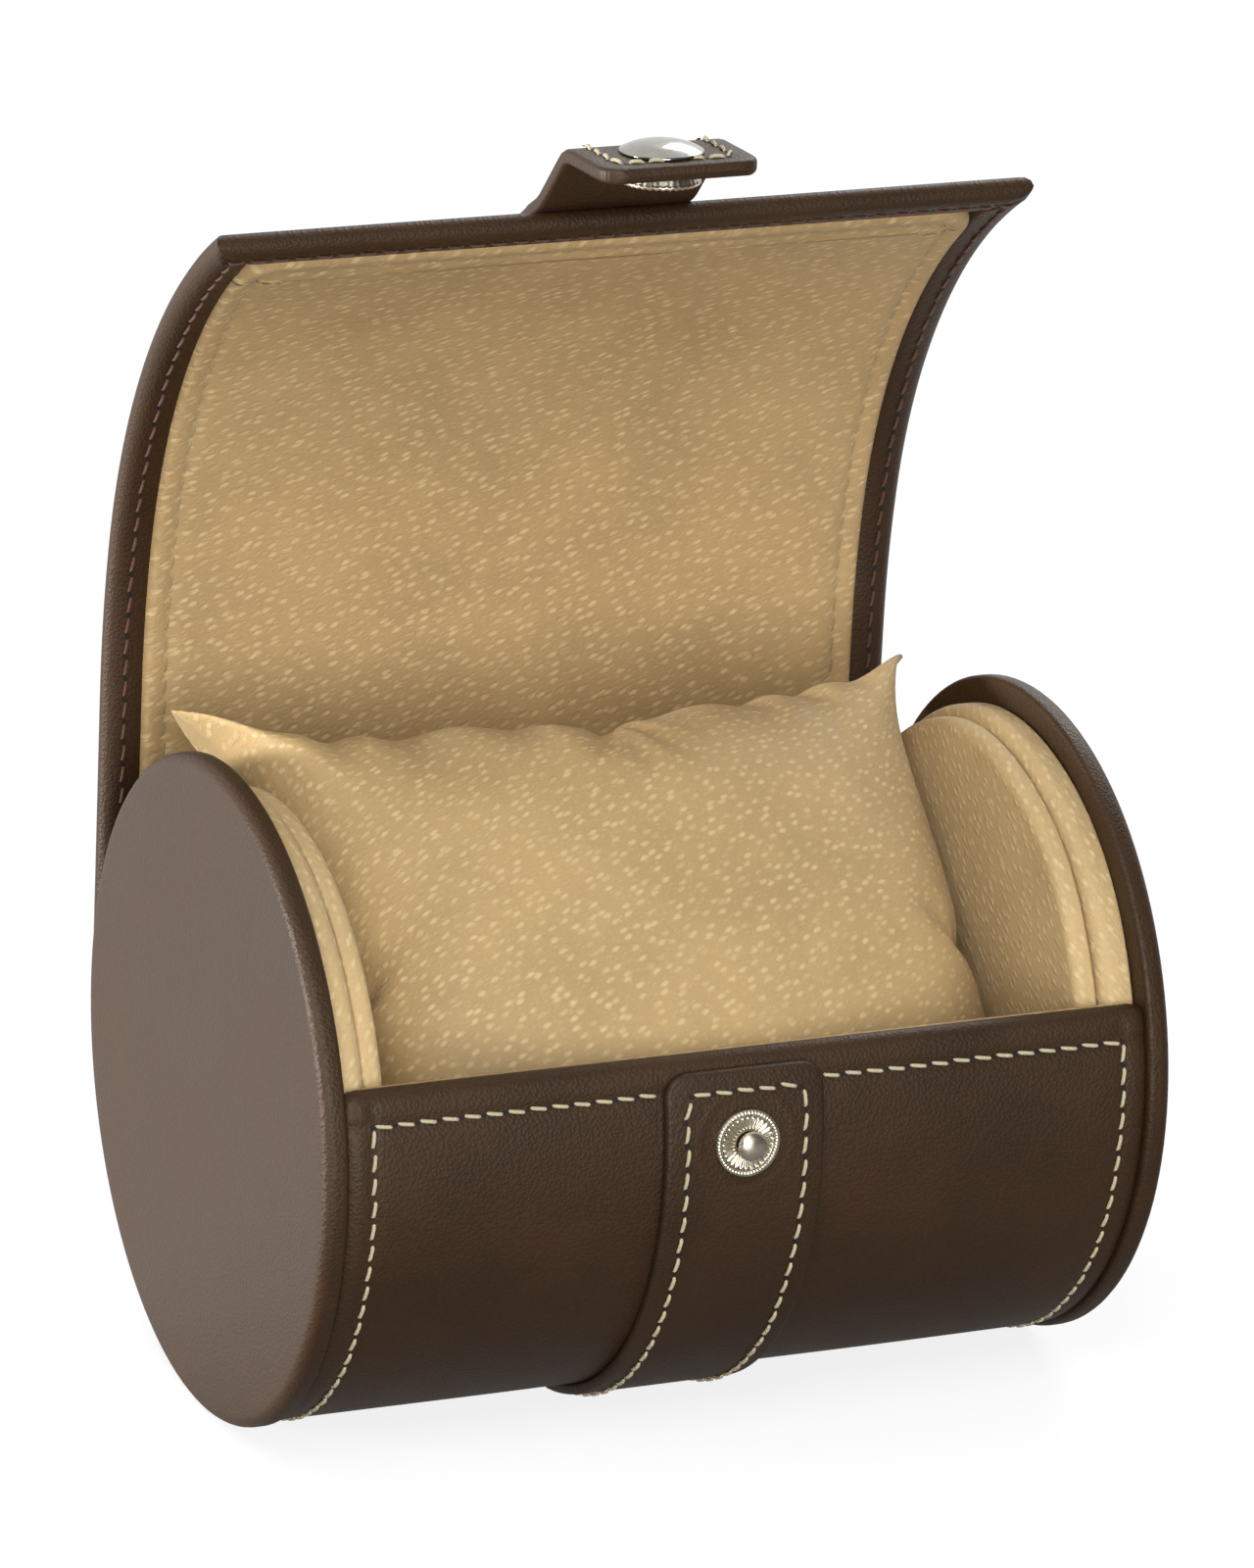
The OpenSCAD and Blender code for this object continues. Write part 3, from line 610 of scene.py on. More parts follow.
def trough_leather():
    line = trough_line()
    normal = np.gradient(line, axis=0)
    normal = np.stack([-normal[:, 1], normal[:, 0]], 1)
    normal /= np.linalg.norm(normal, axis=1, keepdims=True)
    x = np.concatenate([-HALF + EDGE_STEPS, spread(-HALF + 7, HALF - 7, 2.2),
                        (HALF - EDGE_STEPS)[::-1]])
    inward = np.minimum(HALF - np.abs(x), GROOVE)
    dip = 1 - np.sqrt(1 - (1 - inward / GROOVE) ** 2)
    rows, cols = mesh_grid(np.arange(len(line)), x)
    rows = rows.astype(int)
    s = run_of(line)[rows]
    front_s = np.radians(BACK - FRONT) * SKIN_R
    row = pressed(s - front_s + ROW_DOWN) + 0.6 * pressed(HALF - np.abs(cols) - ROW_IN)
    lift = (waves(cols, s, 0.10, 3) * np.clip(inward / GROOVE, 0, 1) - dip
            - ROW_DEPTH * np.minimum(row, 1) * (s < front_s))
    flat = line[rows] + normal[rows] * lift[..., None]
    points = np.stack([cols, flat[..., 0], flat[..., 1] + AXIS], -1)
    shape = Shape()
    shape.grid(points, np.stack([cols, s, 0 * s], -1), flip=True)
    thick = np.stack([points[0], at_back(x, SKIN_R - 1.5 - dip)])
    shape.grid(thick, thick)
    return shape.make("trough_leather", [LEATHER])


piece = trough_leather()
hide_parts("trough_cover", "trough_board")
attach(piece, "trough")
print("trough's leather has", len(piece.data.vertices), "points")

# %% [markdown]
# ## Lining and stitches of the trough
# The lining lies inside the leather and ends in a thin lip behind the rolled edge. The stitches go
# into the pressed rows. They stop where the case rests on the ground, because they are hidden there.

# %% Lining of the trough
LIP = [(0, 39.95), (-2.4, 39.9), (-2.75, 39.55), (-2.4, 39.2), (0, 39.15), (1.5, 39.3), (3, 39.9)]


def arc_mm(angle, radius):
    return np.radians(angle) * radius


def trough_inside():
    """The lining of the trough, with the thin lip that stands behind the rolled front edge."""
    inside = np.arange(FRONT + 4.5, BACK + 0.1, 1.5)
    line = np.array([(FRONT + a, r) for a, r in LIP] + [(a, INSIDE_R) for a in inside])
    x = spread(-HALF + 0.2, HALF - 0.2, 3)
    rows, cols = mesh_grid(np.arange(len(line)), x)
    a, radius = line[rows.astype(int), 0], line[rows.astype(int), 1]
    radius = radius + waves(cols, arc_mm(a, INSIDE_R), 0.12, 5)
    shape = Shape()
    flat = np.stack([cols, arc_mm(a, INSIDE_R), 0 * a], -1)
    shape.grid(turned(cols, a, radius), flat)
    rim = np.stack([at_back(x, INSIDE_R), at_back(x, SKIN_R - 1.6)])
    shape.grid(rim, rim)
    return shape.make("trough_inside", [LINING])


piece = trough_inside()
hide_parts("trough_lining")
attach(piece, "trough")
print("trough's lining has", len(piece.data.vertices), "points")

# %% Stitches of the trough
def off_the_ground(angle, radius):
    return AXIS + radius * np.sin(np.radians(angle)) > 0.9


def trough_stitches():
    """A row below the rolled edge on both sides of the belt, and one beside each round end."""
    shape = Shape()
    row_deg = FRONT + math.degrees(ROW_DOWN / SKIN_R)
    inset, r = HALF - ROW_IN, SKIN_R - 0.7 * ROW_DEPTH
    beside = BELT_W / 2 + 0.3
    length = math.radians(BACK - 6 - row_deg) * SKIN_R

    def down(d):
        return row_deg + np.degrees(d / SKIN_R)

    def in_sight(d):
        return off_the_ground(down(d), SKIN_R)

    for low, high in ((-inset, BELT_X - beside), (BELT_X + beside, inset)):
        stitch_row(shape, on_trough(lambda d: (low + d, row_deg + 0 * d), r), high - low, 3.1,
                   seed=int(high) + 90)
    for side in (-1, 1):
        stitch_row(shape, on_trough(lambda d: (side * inset + 0 * d, down(d)), r), length, 3.1,
                   keep=in_sight, seed=side + 5)
    return shape.make("trough_stitches", [THREAD, HOLE_SHADE])


piece = trough_stitches()
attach(piece, "trough")
print("trough dressed")

# %% [markdown]
# ## Round ends and their padded discs
# The ends are stiff discs under leather. The padded discs beside them have full rims, and their
# faces swell a little towards the middle. A cylinder with bevelled edges would do for the ends, but
# not for a swelling face, so each is a profile turned round the axis, as on a lathe.

# %% A profile turned round the axis
CENTRE = 0.05                            # radius of the innermost ring of points


def turned_piece(name, profile, side, mat, step=3.0, wave=0.08, seed=1):
    """profile is a list of (distance from the trough's end, radius), outwards positive."""
    line = np.array(profile, float)
    rows, a = mesh_grid(np.arange(len(line)), np.arange(0, 360, step))
    rows = rows.astype(int)
    out, radius = line[rows, 0], line[rows, 1]
    along = run_of(line)
    bump = waves(radius * np.cos(np.radians(a)), radius * np.sin(np.radians(a)), wave, seed)
    points = turned(side * (HALF + out + bump * np.clip(radius / 10, 0, 1)), a, radius)
    out_along = along[-1] - along[rows]
    flat = np.stack([out_along * np.cos(np.radians(a)), out_along * np.sin(np.radians(a)), 0 * a],
                    -1)
    shape = Shape()
    shape.grid(points, flat, wrap=True, flip=side > 0)
    return shape.make(name, [mat])


def end_profile(low, high, radius, corner_low, corner_high):
    """A disc from its inner face, over a rounded rim, to its outer face."""
    face = [CENTRE] + [radius * share for share in (0.25, 0.5, 0.75)]
    line = [(low, r) for r in face + [radius - corner_low - 1.5]]
    line += arc(low + corner_low, radius - corner_low, corner_low, 180, 90)
    line += arc(high - corner_high, radius - corner_high, corner_high, 90, 0)
    return line + [(high, r) for r in [radius - corner_high - 1.5] + face[::-1]]


def pad_profile(outer, inner, radius, crown, corner):
    """A padded disc: flat towards the round end, a full rim, and a swelling face."""
    line = [(outer, CENTRE), (outer, radius * 0.5), (outer, radius - 1.2)]
    line += arc(outer - 0.6, radius - 0.6, 0.6, 0, 90, 5)
    line += arc(inner + corner, radius - corner, corner, 90, 180, 9)
    for share in np.linspace(0.94, 0.0, 9):
        line.append((inner - crown * (1 - share ** 2), max((radius - corner) * share, CENTRE)))
    return line


print("an end's profile has", len(end_profile(0.0, END_T, END_R, 0.7, 1.6)), "points")

# %% Ends and discs
for side, word in ((-1, "left"), (1, "right")):
    end = turned_piece(f"{word}_end", end_profile(0.0, END_T, END_R, 0.7, 1.6), side, LEATHER,
                       wave=0.05, seed=7 + side)
    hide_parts(f"{word}_end_cover", f"{word}_end_board")
    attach(end, "trough")
    outer = turned_piece(f"{word}_outer_disc", pad_profile(0.0, -4.3, 40.4, 0.0, 1.9), side,
                         DISC_LINING, wave=0.18, seed=17 + side)
    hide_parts(f"{word}_outer_pad_cover", f"{word}_outer_pad_core")
    inner = turned_piece(f"{word}_inner_disc", pad_profile(-4.45, -7.45, 38.9, 0.9, 1.5), side,
                         DISC_LINING, wave=0.2, seed=27 + side)
    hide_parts(f"{word}_inner_pad_cover", f"{word}_inner_pad_core")
    for item in (outer, inner):
        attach(item, "trough")
print("ends dressed")

# %% [markdown]
# ## Lid
# The outer leather is one back sheet whose border is turned over the board. The padded lining lies
# inside the border. Each layer is cut at the middle of the strips, so each piece spans one crease.
# Only the last piece hangs on its strip; the others are baked where they stand. The border is one
# outline carried along the edges and mitred at the two top corners.

# %% The lid's leather
BORDER = [(5.9, 1.3), (5.6, 0.55), (5.1, 0.28), (4.0, 0.16), (2.6, 0.06), (1.5, 0.10),
          (0.75, 0.42), (0.22, 1.0), (0.0, 1.8), (0.2, 2.6), (0.75, 3.2), (1.5, 3.45), (2.6, 3.5)]
BORDER_IN, BORDER_BACK = 5.9, 2.6        # how far the border reaches, inside and on the back
MITRE_LIFT = 0.30                        # the doubled leather stands up at the corner's fold


def side_border(shape, low, high, side):
    rows = spread(low, high, 1.5)
    line = np.array(BORDER)
    s, j = mesh_grid(rows, np.arange(len(line)))
    j = j.astype(int)
    x = side * (LID_HALF - line[j, 0])
    out = line[j, 1] + waves(x, s, 0.06, 11) * (line[j, 0] > 0.5)
    shape.grid(lid(x, s, out), np.stack([x + side * line[j, 1], s, 0 * s], -1), flip=side > 0)


def mitred(line, j, near):
    """The border's height, which rises where near falls from 1 to 0 at the fold."""
    return line[j, 1] + MITRE_LIFT * (1 - np.clip(near, 0, 1)) * (line[j, 1] < 1.5)


def top_border(shape):
    line = np.array(BORDER)
    fold = np.array([1, 0.998, 0.994, 0.985, 0.97, 0.95])
    t = np.concatenate([-fold, spread(-0.92, 0.92, 0.03), fold[::-1]])
    q, j = mesh_grid(t, np.arange(len(line)))
    j = j.astype(int)
    x = q * (LID_HALF - line[j, 0])
    s = LID_LEN - line[j, 0] + 0 * q
    out = mitred(line, j, (1 - np.abs(q)) * LID_HALF) + waves(x, s, 0.06, 12) * (line[j, 0] > 0.5)
    shape.grid(lid(x, s, out), np.stack([x, s + line[j, 1], 0 * s], -1))


def mitre_side(shape, low, side):
    """The side border of the last strip, which ends on the corner's slant."""
    line = np.array(BORDER)
    t = np.concatenate([spread(0, 0.9, 0.1), [0.94, 0.97, 0.985, 1.0]])
    q, j = mesh_grid(t, np.arange(len(line)))
    j = j.astype(int)
    s = low + q * (LID_LEN - line[j, 0] - low)
    x = side * (LID_HALF - line[j, 0])
    out = mitred(line, j, (1 - q) * (LID_LEN - low))
    shape.grid(lid(x, s, out), np.stack([x + side * line[j, 1], s, 0 * s], -1), flip=side > 0)


def back_sheet(shape, low, high):
    half = LID_HALF - BORDER_BACK
    s, cols = mesh_grid(spread(low, high, 1.5), spread(-half, half, 3))
    out = LID_T + waves(cols, s, 0.10, 13) * np.clip((half - np.abs(cols)) / 4, 0, 1)
    shape.grid(lid(cols, s, out), np.stack([cols, s, 0 * s], -1))


def inner_sheet(shape, low, high):
    """Hidden face of the leather behind the lining, so that the sheet is closed."""
    half = LID_HALF - BORDER_IN
    s, cols = mesh_grid(spread(low, high, 2), spread(-half, half, 6))
    shape.grid(lid(cols, s, 1.3 + 0 * s), np.stack([cols, s, 0 * s], -1), flip=True)


print("the border's outline has", len(BORDER), "points")

# %% Hanging the lid's leather
def hang(item, k):
    """Hangs the last piece on the last strip. Any other piece is baked where it stands, and does not
    bend.
    """
    names = ["trough"] + [f"lid_strip_{n + 1}" for n in range(6)]
    if k == 6:
        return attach(item, names[6])
    low, high = (mids[k - 1] if k else -mids[0]), mids[k]
    here, there = (lid.spot(v, 1.5) for v in (low, high))
    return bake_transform(item, names[k], names[k + 1], start=tuple(here), end=tuple(there))


for k in range(7):
    low, high = cuts[k], cuts[k + 1]
    leather = Shape()
    if k < 6:
        for side in (-1, 1):
            side_border(leather, low, high, side)
        back_sheet(leather, low, high)
        inner_sheet(leather, low, high)
    else:
        for side in (-1, 1):
            mitre_side(leather, low, side)
        top_border(leather)
        back_sheet(leather, low, LID_LEN - BORDER_BACK)
        inner_sheet(leather, low, LID_LEN - BORDER_IN)
    made = leather.make(f"lid_leather_{k}", [LEATHER])
    if k:
        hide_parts(f"lid_cover_{k}", f"lid_board_{k}")
    else:
        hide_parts("lid_root")
    hang(made, k)
print("lid's leather hung")

# %% [markdown]
# ## Padded lining of the lid
# A cream sheet is drawn over thin wadding, with a full turned edge, a stitched channel beside it and
# a soft field. It could be sculpted, but the height depends on one thing only: the distance from the
# edge. So the height is a function of that distance.

# %% Height of the padding
PAD_INSET, PAD_CORNER, CHANNEL = 5.1, 6.5, 3.3
PAD_HALF, PAD_TOP = LID_HALF - PAD_INSET, LID_LEN - PAD_INSET
PAD_STEPS = np.array([0, .02, .1, .25, .45, .7, 1, 1.4, 2, 2.6, 3, 3.3, 3.6, 4.2, 5, 6.5])


def pad_edge(x, s):
    """Distance from the lining's rounded outline, on the flat sheet."""
    dx = np.abs(x) - (PAD_HALF - PAD_CORNER)
    ds = s - (PAD_TOP - PAD_CORNER)
    corner = np.hypot(np.maximum(dx, 0), np.maximum(ds, 0)) + np.minimum(np.maximum(dx, ds), 0)
    return PAD_CORNER - corner


def puff(e):
    """Height over the padding's edge: a full turned edge, a stitched channel, a soft field."""
    edge = np.sqrt(np.clip(1 - (1 - np.clip(e / 1.3, 0, 1)) ** 2, 0, 1))
    channel = np.exp(-((e - CHANNEL) / 0.7) ** 2)
    field = 1 - np.exp(-np.clip(e - CHANNEL, 0, None) / 4)
    return 1.25 - 1.6 * edge + 0.38 * channel - 0.22 * field


def lining_piece(low, high):
    rows = spread(low, high, 1.2)
    if high >= PAD_TOP - 0.01:
        rows = np.concatenate([spread(low, PAD_TOP - 6, 1.2), PAD_TOP - PAD_STEPS[-2::-1]])
    near = PAD_STEPS / 52                # about the same steps, as shares of the half width
    columns = np.concatenate([-1 + near, spread(-0.85, 0.85, 0.035), (1 - near)[::-1]])
    s, t = mesh_grid(rows, columns)
    cut = np.clip(s - (PAD_TOP - PAD_CORNER), 0, PAD_CORNER)
    half = PAD_HALF - (PAD_CORNER - np.sqrt(np.clip(PAD_CORNER ** 2 - cut ** 2, 0, None)))
    x = t * half
    e = np.clip(pad_edge(x, s), 0, None)
    out = puff(e) + waves(x, s, 0.16, 21) * np.clip((e - 4) / 6, 0, 1)
    shape = Shape()
    shape.grid(lid(x, s, out), np.stack([x, s, 0 * s], -1), flip=True)
    back = lid(x, s, 1.28 + 0 * s)
    shape.grid(back, np.stack([x, s, 0 * s], -1))
    return shape


print("the padding's field stands", round(-float(puff(30.0)), 2), "mm proud")

# %% Padding and stitches of the lid
for k in range(7):
    low, high = (0.3 if k == 0 else cuts[k]), (PAD_TOP if k == 6 else cuts[k + 1])
    made = lining_piece(low, high).make(f"lid_padding_{k}", [LINING])
    if k:
        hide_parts(f"lid_lining_{k}")
    hang(made, k)


def lid_stitches(word, inset, corner, mats, out, thick, rise):
    """One line of stitches round the lid, in pieces that hang with the leather."""
    path, total = flap_path(LID_HALF - inset, 0, LID_LEN - inset, corner)
    for k in range(7):
        low, high = (0.5 if k == 0 else cuts[k]), cuts[k + 1] + (1 if k == 6 else 0)
        shape = Shape()
        stitch_row(shape, on_bend(lid, path, out), total, thick=thick, rise=rise,
                   keep=lambda d: (path(d)[1] >= low) & (path(d)[1] < high), seed=31)
        if shape.count:
            made = shape.make(f"lid_{word}_stitches_{k}", mats)
            hang(made, k)


lid_stitches("border", 2.75, 0.6, [DARK_THREAD, HOLE_SHADE], 0.05, 0.22, 0.16)
lid_stitches("lining", PAD_INSET + CHANNEL, 3.4, [LINING_THREAD, LINING_THREAD], 0.08, 0.2, 0.1)
print("lid lined and stitched")

# %% [markdown]
# ## Belt
# One strap is stitched round the trough and up over the lid, and ends in the bent tab. Its section
# has softly rounded edges, and its free ends are cut round at the corners. A curve with a bevel
# could give it, but not the round ends, so the section is carried along the bend as a grid.

# %% A length of strap
END_STEPS = np.array([0, 0.1, 0.3, 0.55, 0.9, 1.4, 2.0, 2.6, 3.2])
ROUND_END = 3.2                          # corner radius of a free end


class Round:
    """The trough's own bend: a distance down from the front edge becomes an angle."""
    def __init__(self, radius):
        self.radius = radius

    def lean_at(self, s):
        return np.radians(FRONT) + s / self.radius

    def __call__(self, x, s, out):
        points = turned(x, np.degrees(self.lean_at(s)), self.radius + out)
        points[..., 2] = np.maximum(points[..., 2], 0.02)
        return points


def strap_section(thick, inner, corner=0.6):
    """Loop of (x, out) round the strap's section."""
    half, r, ring = BELT_W / 2, corner, []
    for cx, cy, first in ((half - r, inner + thick - r, 0), (-half + r, inner + thick - r, 90),
                          (-half + r, inner + r, 180), (half - r, inner + r, 270)):
        ring += arc(cx, cy, r, first, first + 90, 5)
        if first in (90, 270):
            continue
        ring += [(v, ring[-1][1]) for v in np.linspace(ring[-1][0], -ring[-1][0], 9)[1:-1]]
    return np.array(ring)


def strap(shape, bend, low, high, inner=LID_T, thick=BELT_T, free_low=False, free_high=False):
    """A length of strap from low to high. A free end is round at its corners and closed."""
    rows = spread(low + (ROUND_END + 0.5) * free_low, high - (ROUND_END + 0.5) * free_high, 1.2)
    if free_low:
        rows = np.concatenate([low + END_STEPS, rows])
    if free_high:
        rows = np.concatenate([rows, (high - END_STEPS)[::-1]])
    base = strap_section(thick, inner)
    s, j = mesh_grid(rows, np.arange(len(base)))
    j = j.astype(int)
    from_end = np.full_like(s, np.inf)
    if free_low:
        from_end = np.minimum(from_end, s - low)
    if free_high:
        from_end = np.minimum(from_end, high - s)
    short = np.clip(ROUND_END - from_end, 0, ROUND_END)
    cut = ROUND_END - np.sqrt(np.clip(ROUND_END ** 2 - short ** 2, 0, None))
    narrow = (BELT_W / 2 - cut) / (BELT_W / 2)
    slim = np.sqrt(np.clip(1 - (1 - np.clip(from_end / 0.55, 0, 1)) ** 2, 0.0, 1))
    middle = inner + thick / 2
    out = middle + (base[j, 1] - middle) * slim + waves(base[j, 0], s, 0.05, 41)
    shape.grid(bend(base[j, 0] * narrow + BELT_X, s, out),
               np.stack([base[j, 0], s, run_of(base)[j]], -1), wrap=True, flip=True)
    return shape


def strap_edge_path(low, high, inset, corner):
    """A stitch line up one side of a free end, round it and down the other."""
    return flap_path(BELT_W / 2 - inset, low, high - inset, corner, BELT_X)


print("the strap's section has", len(strap_section(BELT_T, 0.0)), "points")

# %% Belt over the lid
TAB_OVERLAP = 3.78                       # the belt ends this far below the lid's edge, at the tab
for k in range(7):
    low, high = cuts[k], (cuts[k + 1] if k < 6 else LID_LEN - TAB_OVERLAP)
    made = strap(Shape(), lid, low, high, free_low=k == 0).make(f"lid_strap_{k}", [BELT_LEATHER])
    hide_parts(f"lid_belt_{k}" if k else "belt_root")
    hang(made, k)
    shape = Shape()
    for side in (-1, 1):
        edge = straight_up(BELT_X + side * (BELT_W / 2 - 2.7))
        stitch_row(shape, on_bend(lid, edge, LID_T + BELT_T + 0.02), high - low - 1,
                   start=low + 1, seed=50 + k)
    made = shape.make(f"lid_strap_stitches_{k}", [THREAD, HOLE_SHADE])
    hang(made, k)
print("belt over the lid hung")

# %% [markdown]
# ## Tab
# Above the lid's edge the strap stands up on its own and folds forward, where the snap's dome sits.
# It is drawn a little thicker than the belt, because it has to hold its shape. Two flat plates would
# meet in a crease, so the same bending rule draws it, with a short curve at its root and another at
# the fold. It is cut into a lower and an upper piece, and both are baked where they stand.

# %% Tab
TAB_ROOT, TAB_FOLD = np.array([10.167, 113.386]), np.array([2.487, 121.916])
STAND = float(np.linalg.norm(TAB_FOLD - TAB_ROOT))
TAB_END, CAP_AT, LEAN_STAND, LEAN_END = 13.6, 6.1, 42, 87
tab = Bend([-6, -4, -1.0, 1.2, STAND - 1.5, STAND + 1.3, STAND + TAB_END + 2],
           [55.6, 57.05, 59.3, LEAN_STAND, LEAN_STAND, LEAN_END, LEAN_END + 1], TAB_ROOT)
half_stand, tip = STAND / 2, STAND + TAB_END
TAB_OUT = BELT_T / 2 + 0.2               # half the tab's thickness
for word, low, high, free, a, b, bend_at in (
        ("root", -4, half_stand, False, "lid_strip_6", "tab_strap", 0.0),
        ("tip", half_stand, tip, True, "tab_strap", "tab_tip", STAND)):
    made = strap(Shape(), tab, low, high, inner=-TAB_OUT, thick=2 * TAB_OUT, free_high=free)
    made = made.make(f"tab_{word}", [BELT_LEATHER])
    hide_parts("tab_end" if free else "tab_stand")
    threads = Shape()
    if free:
        path, total = strap_edge_path(low, high, 2.9, 2.2)
        stitch_row(threads, on_bend(tab, path, TAB_OUT + 0.02), total, 2.7, seed=71)
    else:
        for side in (-1, 1):
            edge = straight_up(BELT_X + side * (BELT_W / 2 - 2.9))
            stitch_row(threads, on_bend(tab, edge, TAB_OUT + 0.02), high - low, 2.8, start=low,
                       seed=73)
    sewn = threads.make(f"tab_{word}_stitches", [THREAD, HOLE_SHADE])
    for item in (made, sewn):
        here, there = (tab.spot(bend_at + d) for d in (-2.0, 2.0))
        tuple(here)
        tuple(there)
        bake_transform(item)
print("tab bent: it stands", round(STAND, 1), "mm and folds forward", TAB_END, "mm")

# %% [markdown]
# ## Belt round the trough
# The belt goes on from the lid round the underside and ends below the front edge. Where the socket
# presses on it round the stud, it has a faint smooth ring. The ring is a band of distances from the
# stud on the flat sheet, which costs no geometry.

# %% The ring rubbed into the belt
RING_R, RING_SOFT = 6.6, (0.9, 0.1)


def ring_round_stud(sheet):
    """On this belt's sheet y is counted from the front edge."""
    centre = sheet.place((1, 1, 0), move=(0, -STUD_DROP, 0))
    far = centre.node("ShaderNodeVectorMath", {0: centre}, operation="LENGTH", output=1)
    return (far - RING_R).math("ABSOLUTE").step(*RING_SOFT)


BELT_FRONT = material("belt_front",
                      dark_leather(rgb(44, 27, 13), rgb(57, 36, 18), ring_round_stud))
print("ring of", RING_R, "mm round the stud")

# %% Belt round the trough
BELT_END = math.radians(319 - FRONT) * SKIN_R
around_trough = Round(SKIN_R)
made = strap(Shape(), around_trough, 0.4, BELT_END, inner=0.0, free_low=True)
made = made.make("trough_strap", [BELT_FRONT])
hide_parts("belt_trough")
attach(made, "trough")


def trough_strap_stitches():
    """Down one side from the underside, round the top end, and back."""
    path, total = strap_edge_path(-BELT_END + 4, -0.4, 2.8, 2.4)
    shape = Shape()

    def on_belt(d):
        x, s = path(d)
        return x, np.degrees(around_trough.lean_at(-s))

    def in_sight(d):
        return off_the_ground(on_belt(d)[1], SKIN_R + BELT_T)

    stitch_row(shape, on_trough(on_belt, SKIN_R + BELT_T + 0.02), total, keep=in_sight, seed=81)
    return shape.make("trough_strap_stitches", [THREAD, HOLE_SHADE])


made = trough_strap_stitches()
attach(made, "trough")
print("belt sewn round the trough")

# %% [markdown]
# ## Snap
# A snap has a stud with a ball head on the case, and a socket under a domed cap on the tab. All are
# turned on a lathe and pressed, so each is a profile spun round its own axis. The rings are fluted
# and beaded by a ripple in height, which needs many fine points along the profile.

# %% A turned metal part
def metal_part(name, profile, origin, outward, mat, ripple=None, steps=120):
    """profile is (radius, height). ripple(radius, angle) adds height. outward is the part's up."""
    line = np.array(profile, float)
    rows, t = mesh_grid(np.arange(len(line)), np.linspace(0, 2 * np.pi, steps, endpoint=False))
    rows = rows.astype(int)
    r, h = line[rows, 0], line[rows, 1]
    if ripple:
        h = h + ripple(r, t)
    up = np.array([0, outward[0], outward[1]])
    first = np.array([1.0, 0, 0])
    second = np.cross(up, first)
    around = np.cos(t)[..., None] * first + np.sin(t)[..., None] * second
    points = (np.array([BELT_X, origin[0], origin[1] + AXIS]) + r[..., None] * around
              + h[..., None] * up)
    shape = Shape()
    shape.grid(points, np.stack([r * np.cos(t), r * np.sin(t), h], -1), wrap=True, flip=True)
    made = shape.make(name, [mat])
    return made


def fine(points, size=0.12):
    """Adds points along a profile, so that ripples have something to move."""
    points = np.array(points, float)
    done = [points[0]]
    for a, b in zip(points[:-1], points[1:]):
        n = max(1, int(np.linalg.norm(b - a) / size))
        done += [a + (b - a) * (i + 1) / n for i in range(n)]
    return done


print("a 1 mm line becomes", len(fine([(0, 0), (1, 0)])), "points")

# %% Stud and its ring
def stud_ripple(r, t):
    flutes = np.where((r > 1.9) & (r < 3.5), 0.11 * np.cos(28 * t), 0)
    flutes = flutes * np.clip((3.5 - r) / 0.2, 0, 1) * np.clip((r - 1.9) / 0.2, 0, 1)
    return flutes + np.where((r > 3.6) & (r < 4.4), 0.05 * np.cos(56 * t), 0)


stud_at = direction(STUD) * (SKIN_R + BELT_T)
ring = fine([(1.5, 0.0), (1.5, 0.34), (2.1, 0.36), (3.45, 0.46)]
            + arc(4.02, 0.42, 0.46, 180, 0, 9) + [(4.48, 0.0), (1.5, 0.0)])
made = metal_part("stud_ring_turned", ring, stud_at, direction(STUD), NICKEL, stud_ripple, 448)
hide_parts("stud_ring")
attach(made, "trough")
ball = [(0.02, 0.2), (1.38, 0.2), (1.38, 1.52)]
ball += [(1.98 * math.cos(a), 1.9 + 0.95 * math.sin(a)) for a in np.radians(np.linspace(0, 89, 14))]
made = metal_part("stud_ball", ball, stud_at, direction(STUD), NICKEL, steps=64)
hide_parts("snap_stud")
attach(made, "trough")
print("stud stands", round(max(h for r, h in ball), 2), "mm proud of the belt")

# %% Dome and socket
outward = direction(LEAN_END)
along = np.array([-outward[1], outward[0]])
snap_at = TAB_FOLD + CAP_AT * along
cap = [(0.02, 1.5)] + [(5.5 * q, 1.5 - 1.25 * q ** 2.6) for q in np.linspace(0.1, 0.96, 14)]
cap += arc(5.22, 0.12, 0.26, 60, -90, 6) + [(4.6, -0.12), (0.02, -0.12)]
made = metal_part("snap_dome", cap[::-1], snap_at + outward * TAB_OUT, outward, CHROME, steps=96)
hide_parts("snap_cap")
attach(made, "tab_tip")


def socket_ripple(r, t):
    return np.where(r > 2.8, 0.07 * np.cos(36 * t), 0)


socket = fine([(0.02, 0.0), (4.5, 0.0), (4.7, 0.5), (5.05, 1.5)]
              + arc(4.85, 1.7, 0.32, -20, 120, 6)
              + [(3.9, 1.95), (2.6, 1.75), (2.25, 2.2), (2.14, 2.15), (2.14, 0.12), (0.02, 0.12)],
              0.15)
made = metal_part("snap_socket_turned", socket, snap_at - outward * TAB_OUT, -outward, NICKEL,
                  socket_ripple, 288)
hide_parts("snap_socket")
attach(made, "tab_tip")
for name in ("socket_spring", "stud_rivet"):
    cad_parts[name].data.materials.clear()
    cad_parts[name].data.materials.append(NICKEL)
print("snap fitted")

# %% [markdown]
# ## Pillow
# Two flat panels are sewn round their edge and filled. A ball pressed flat would miss the pulled-in
# sides and the ears at the corners, so the filling is simulated as cloth under pressure. It runs ten
# times larger than life, which suits the solver. The pillow is then drawn to its measured outline
# and set between the discs, with its ears over them.

# %% Panels of the pillow
PANEL_HALF_W, PANEL_HALF_H, DOME = 58.0, 50.5, 5.0
COLUMNS, ROWS = 56, 48


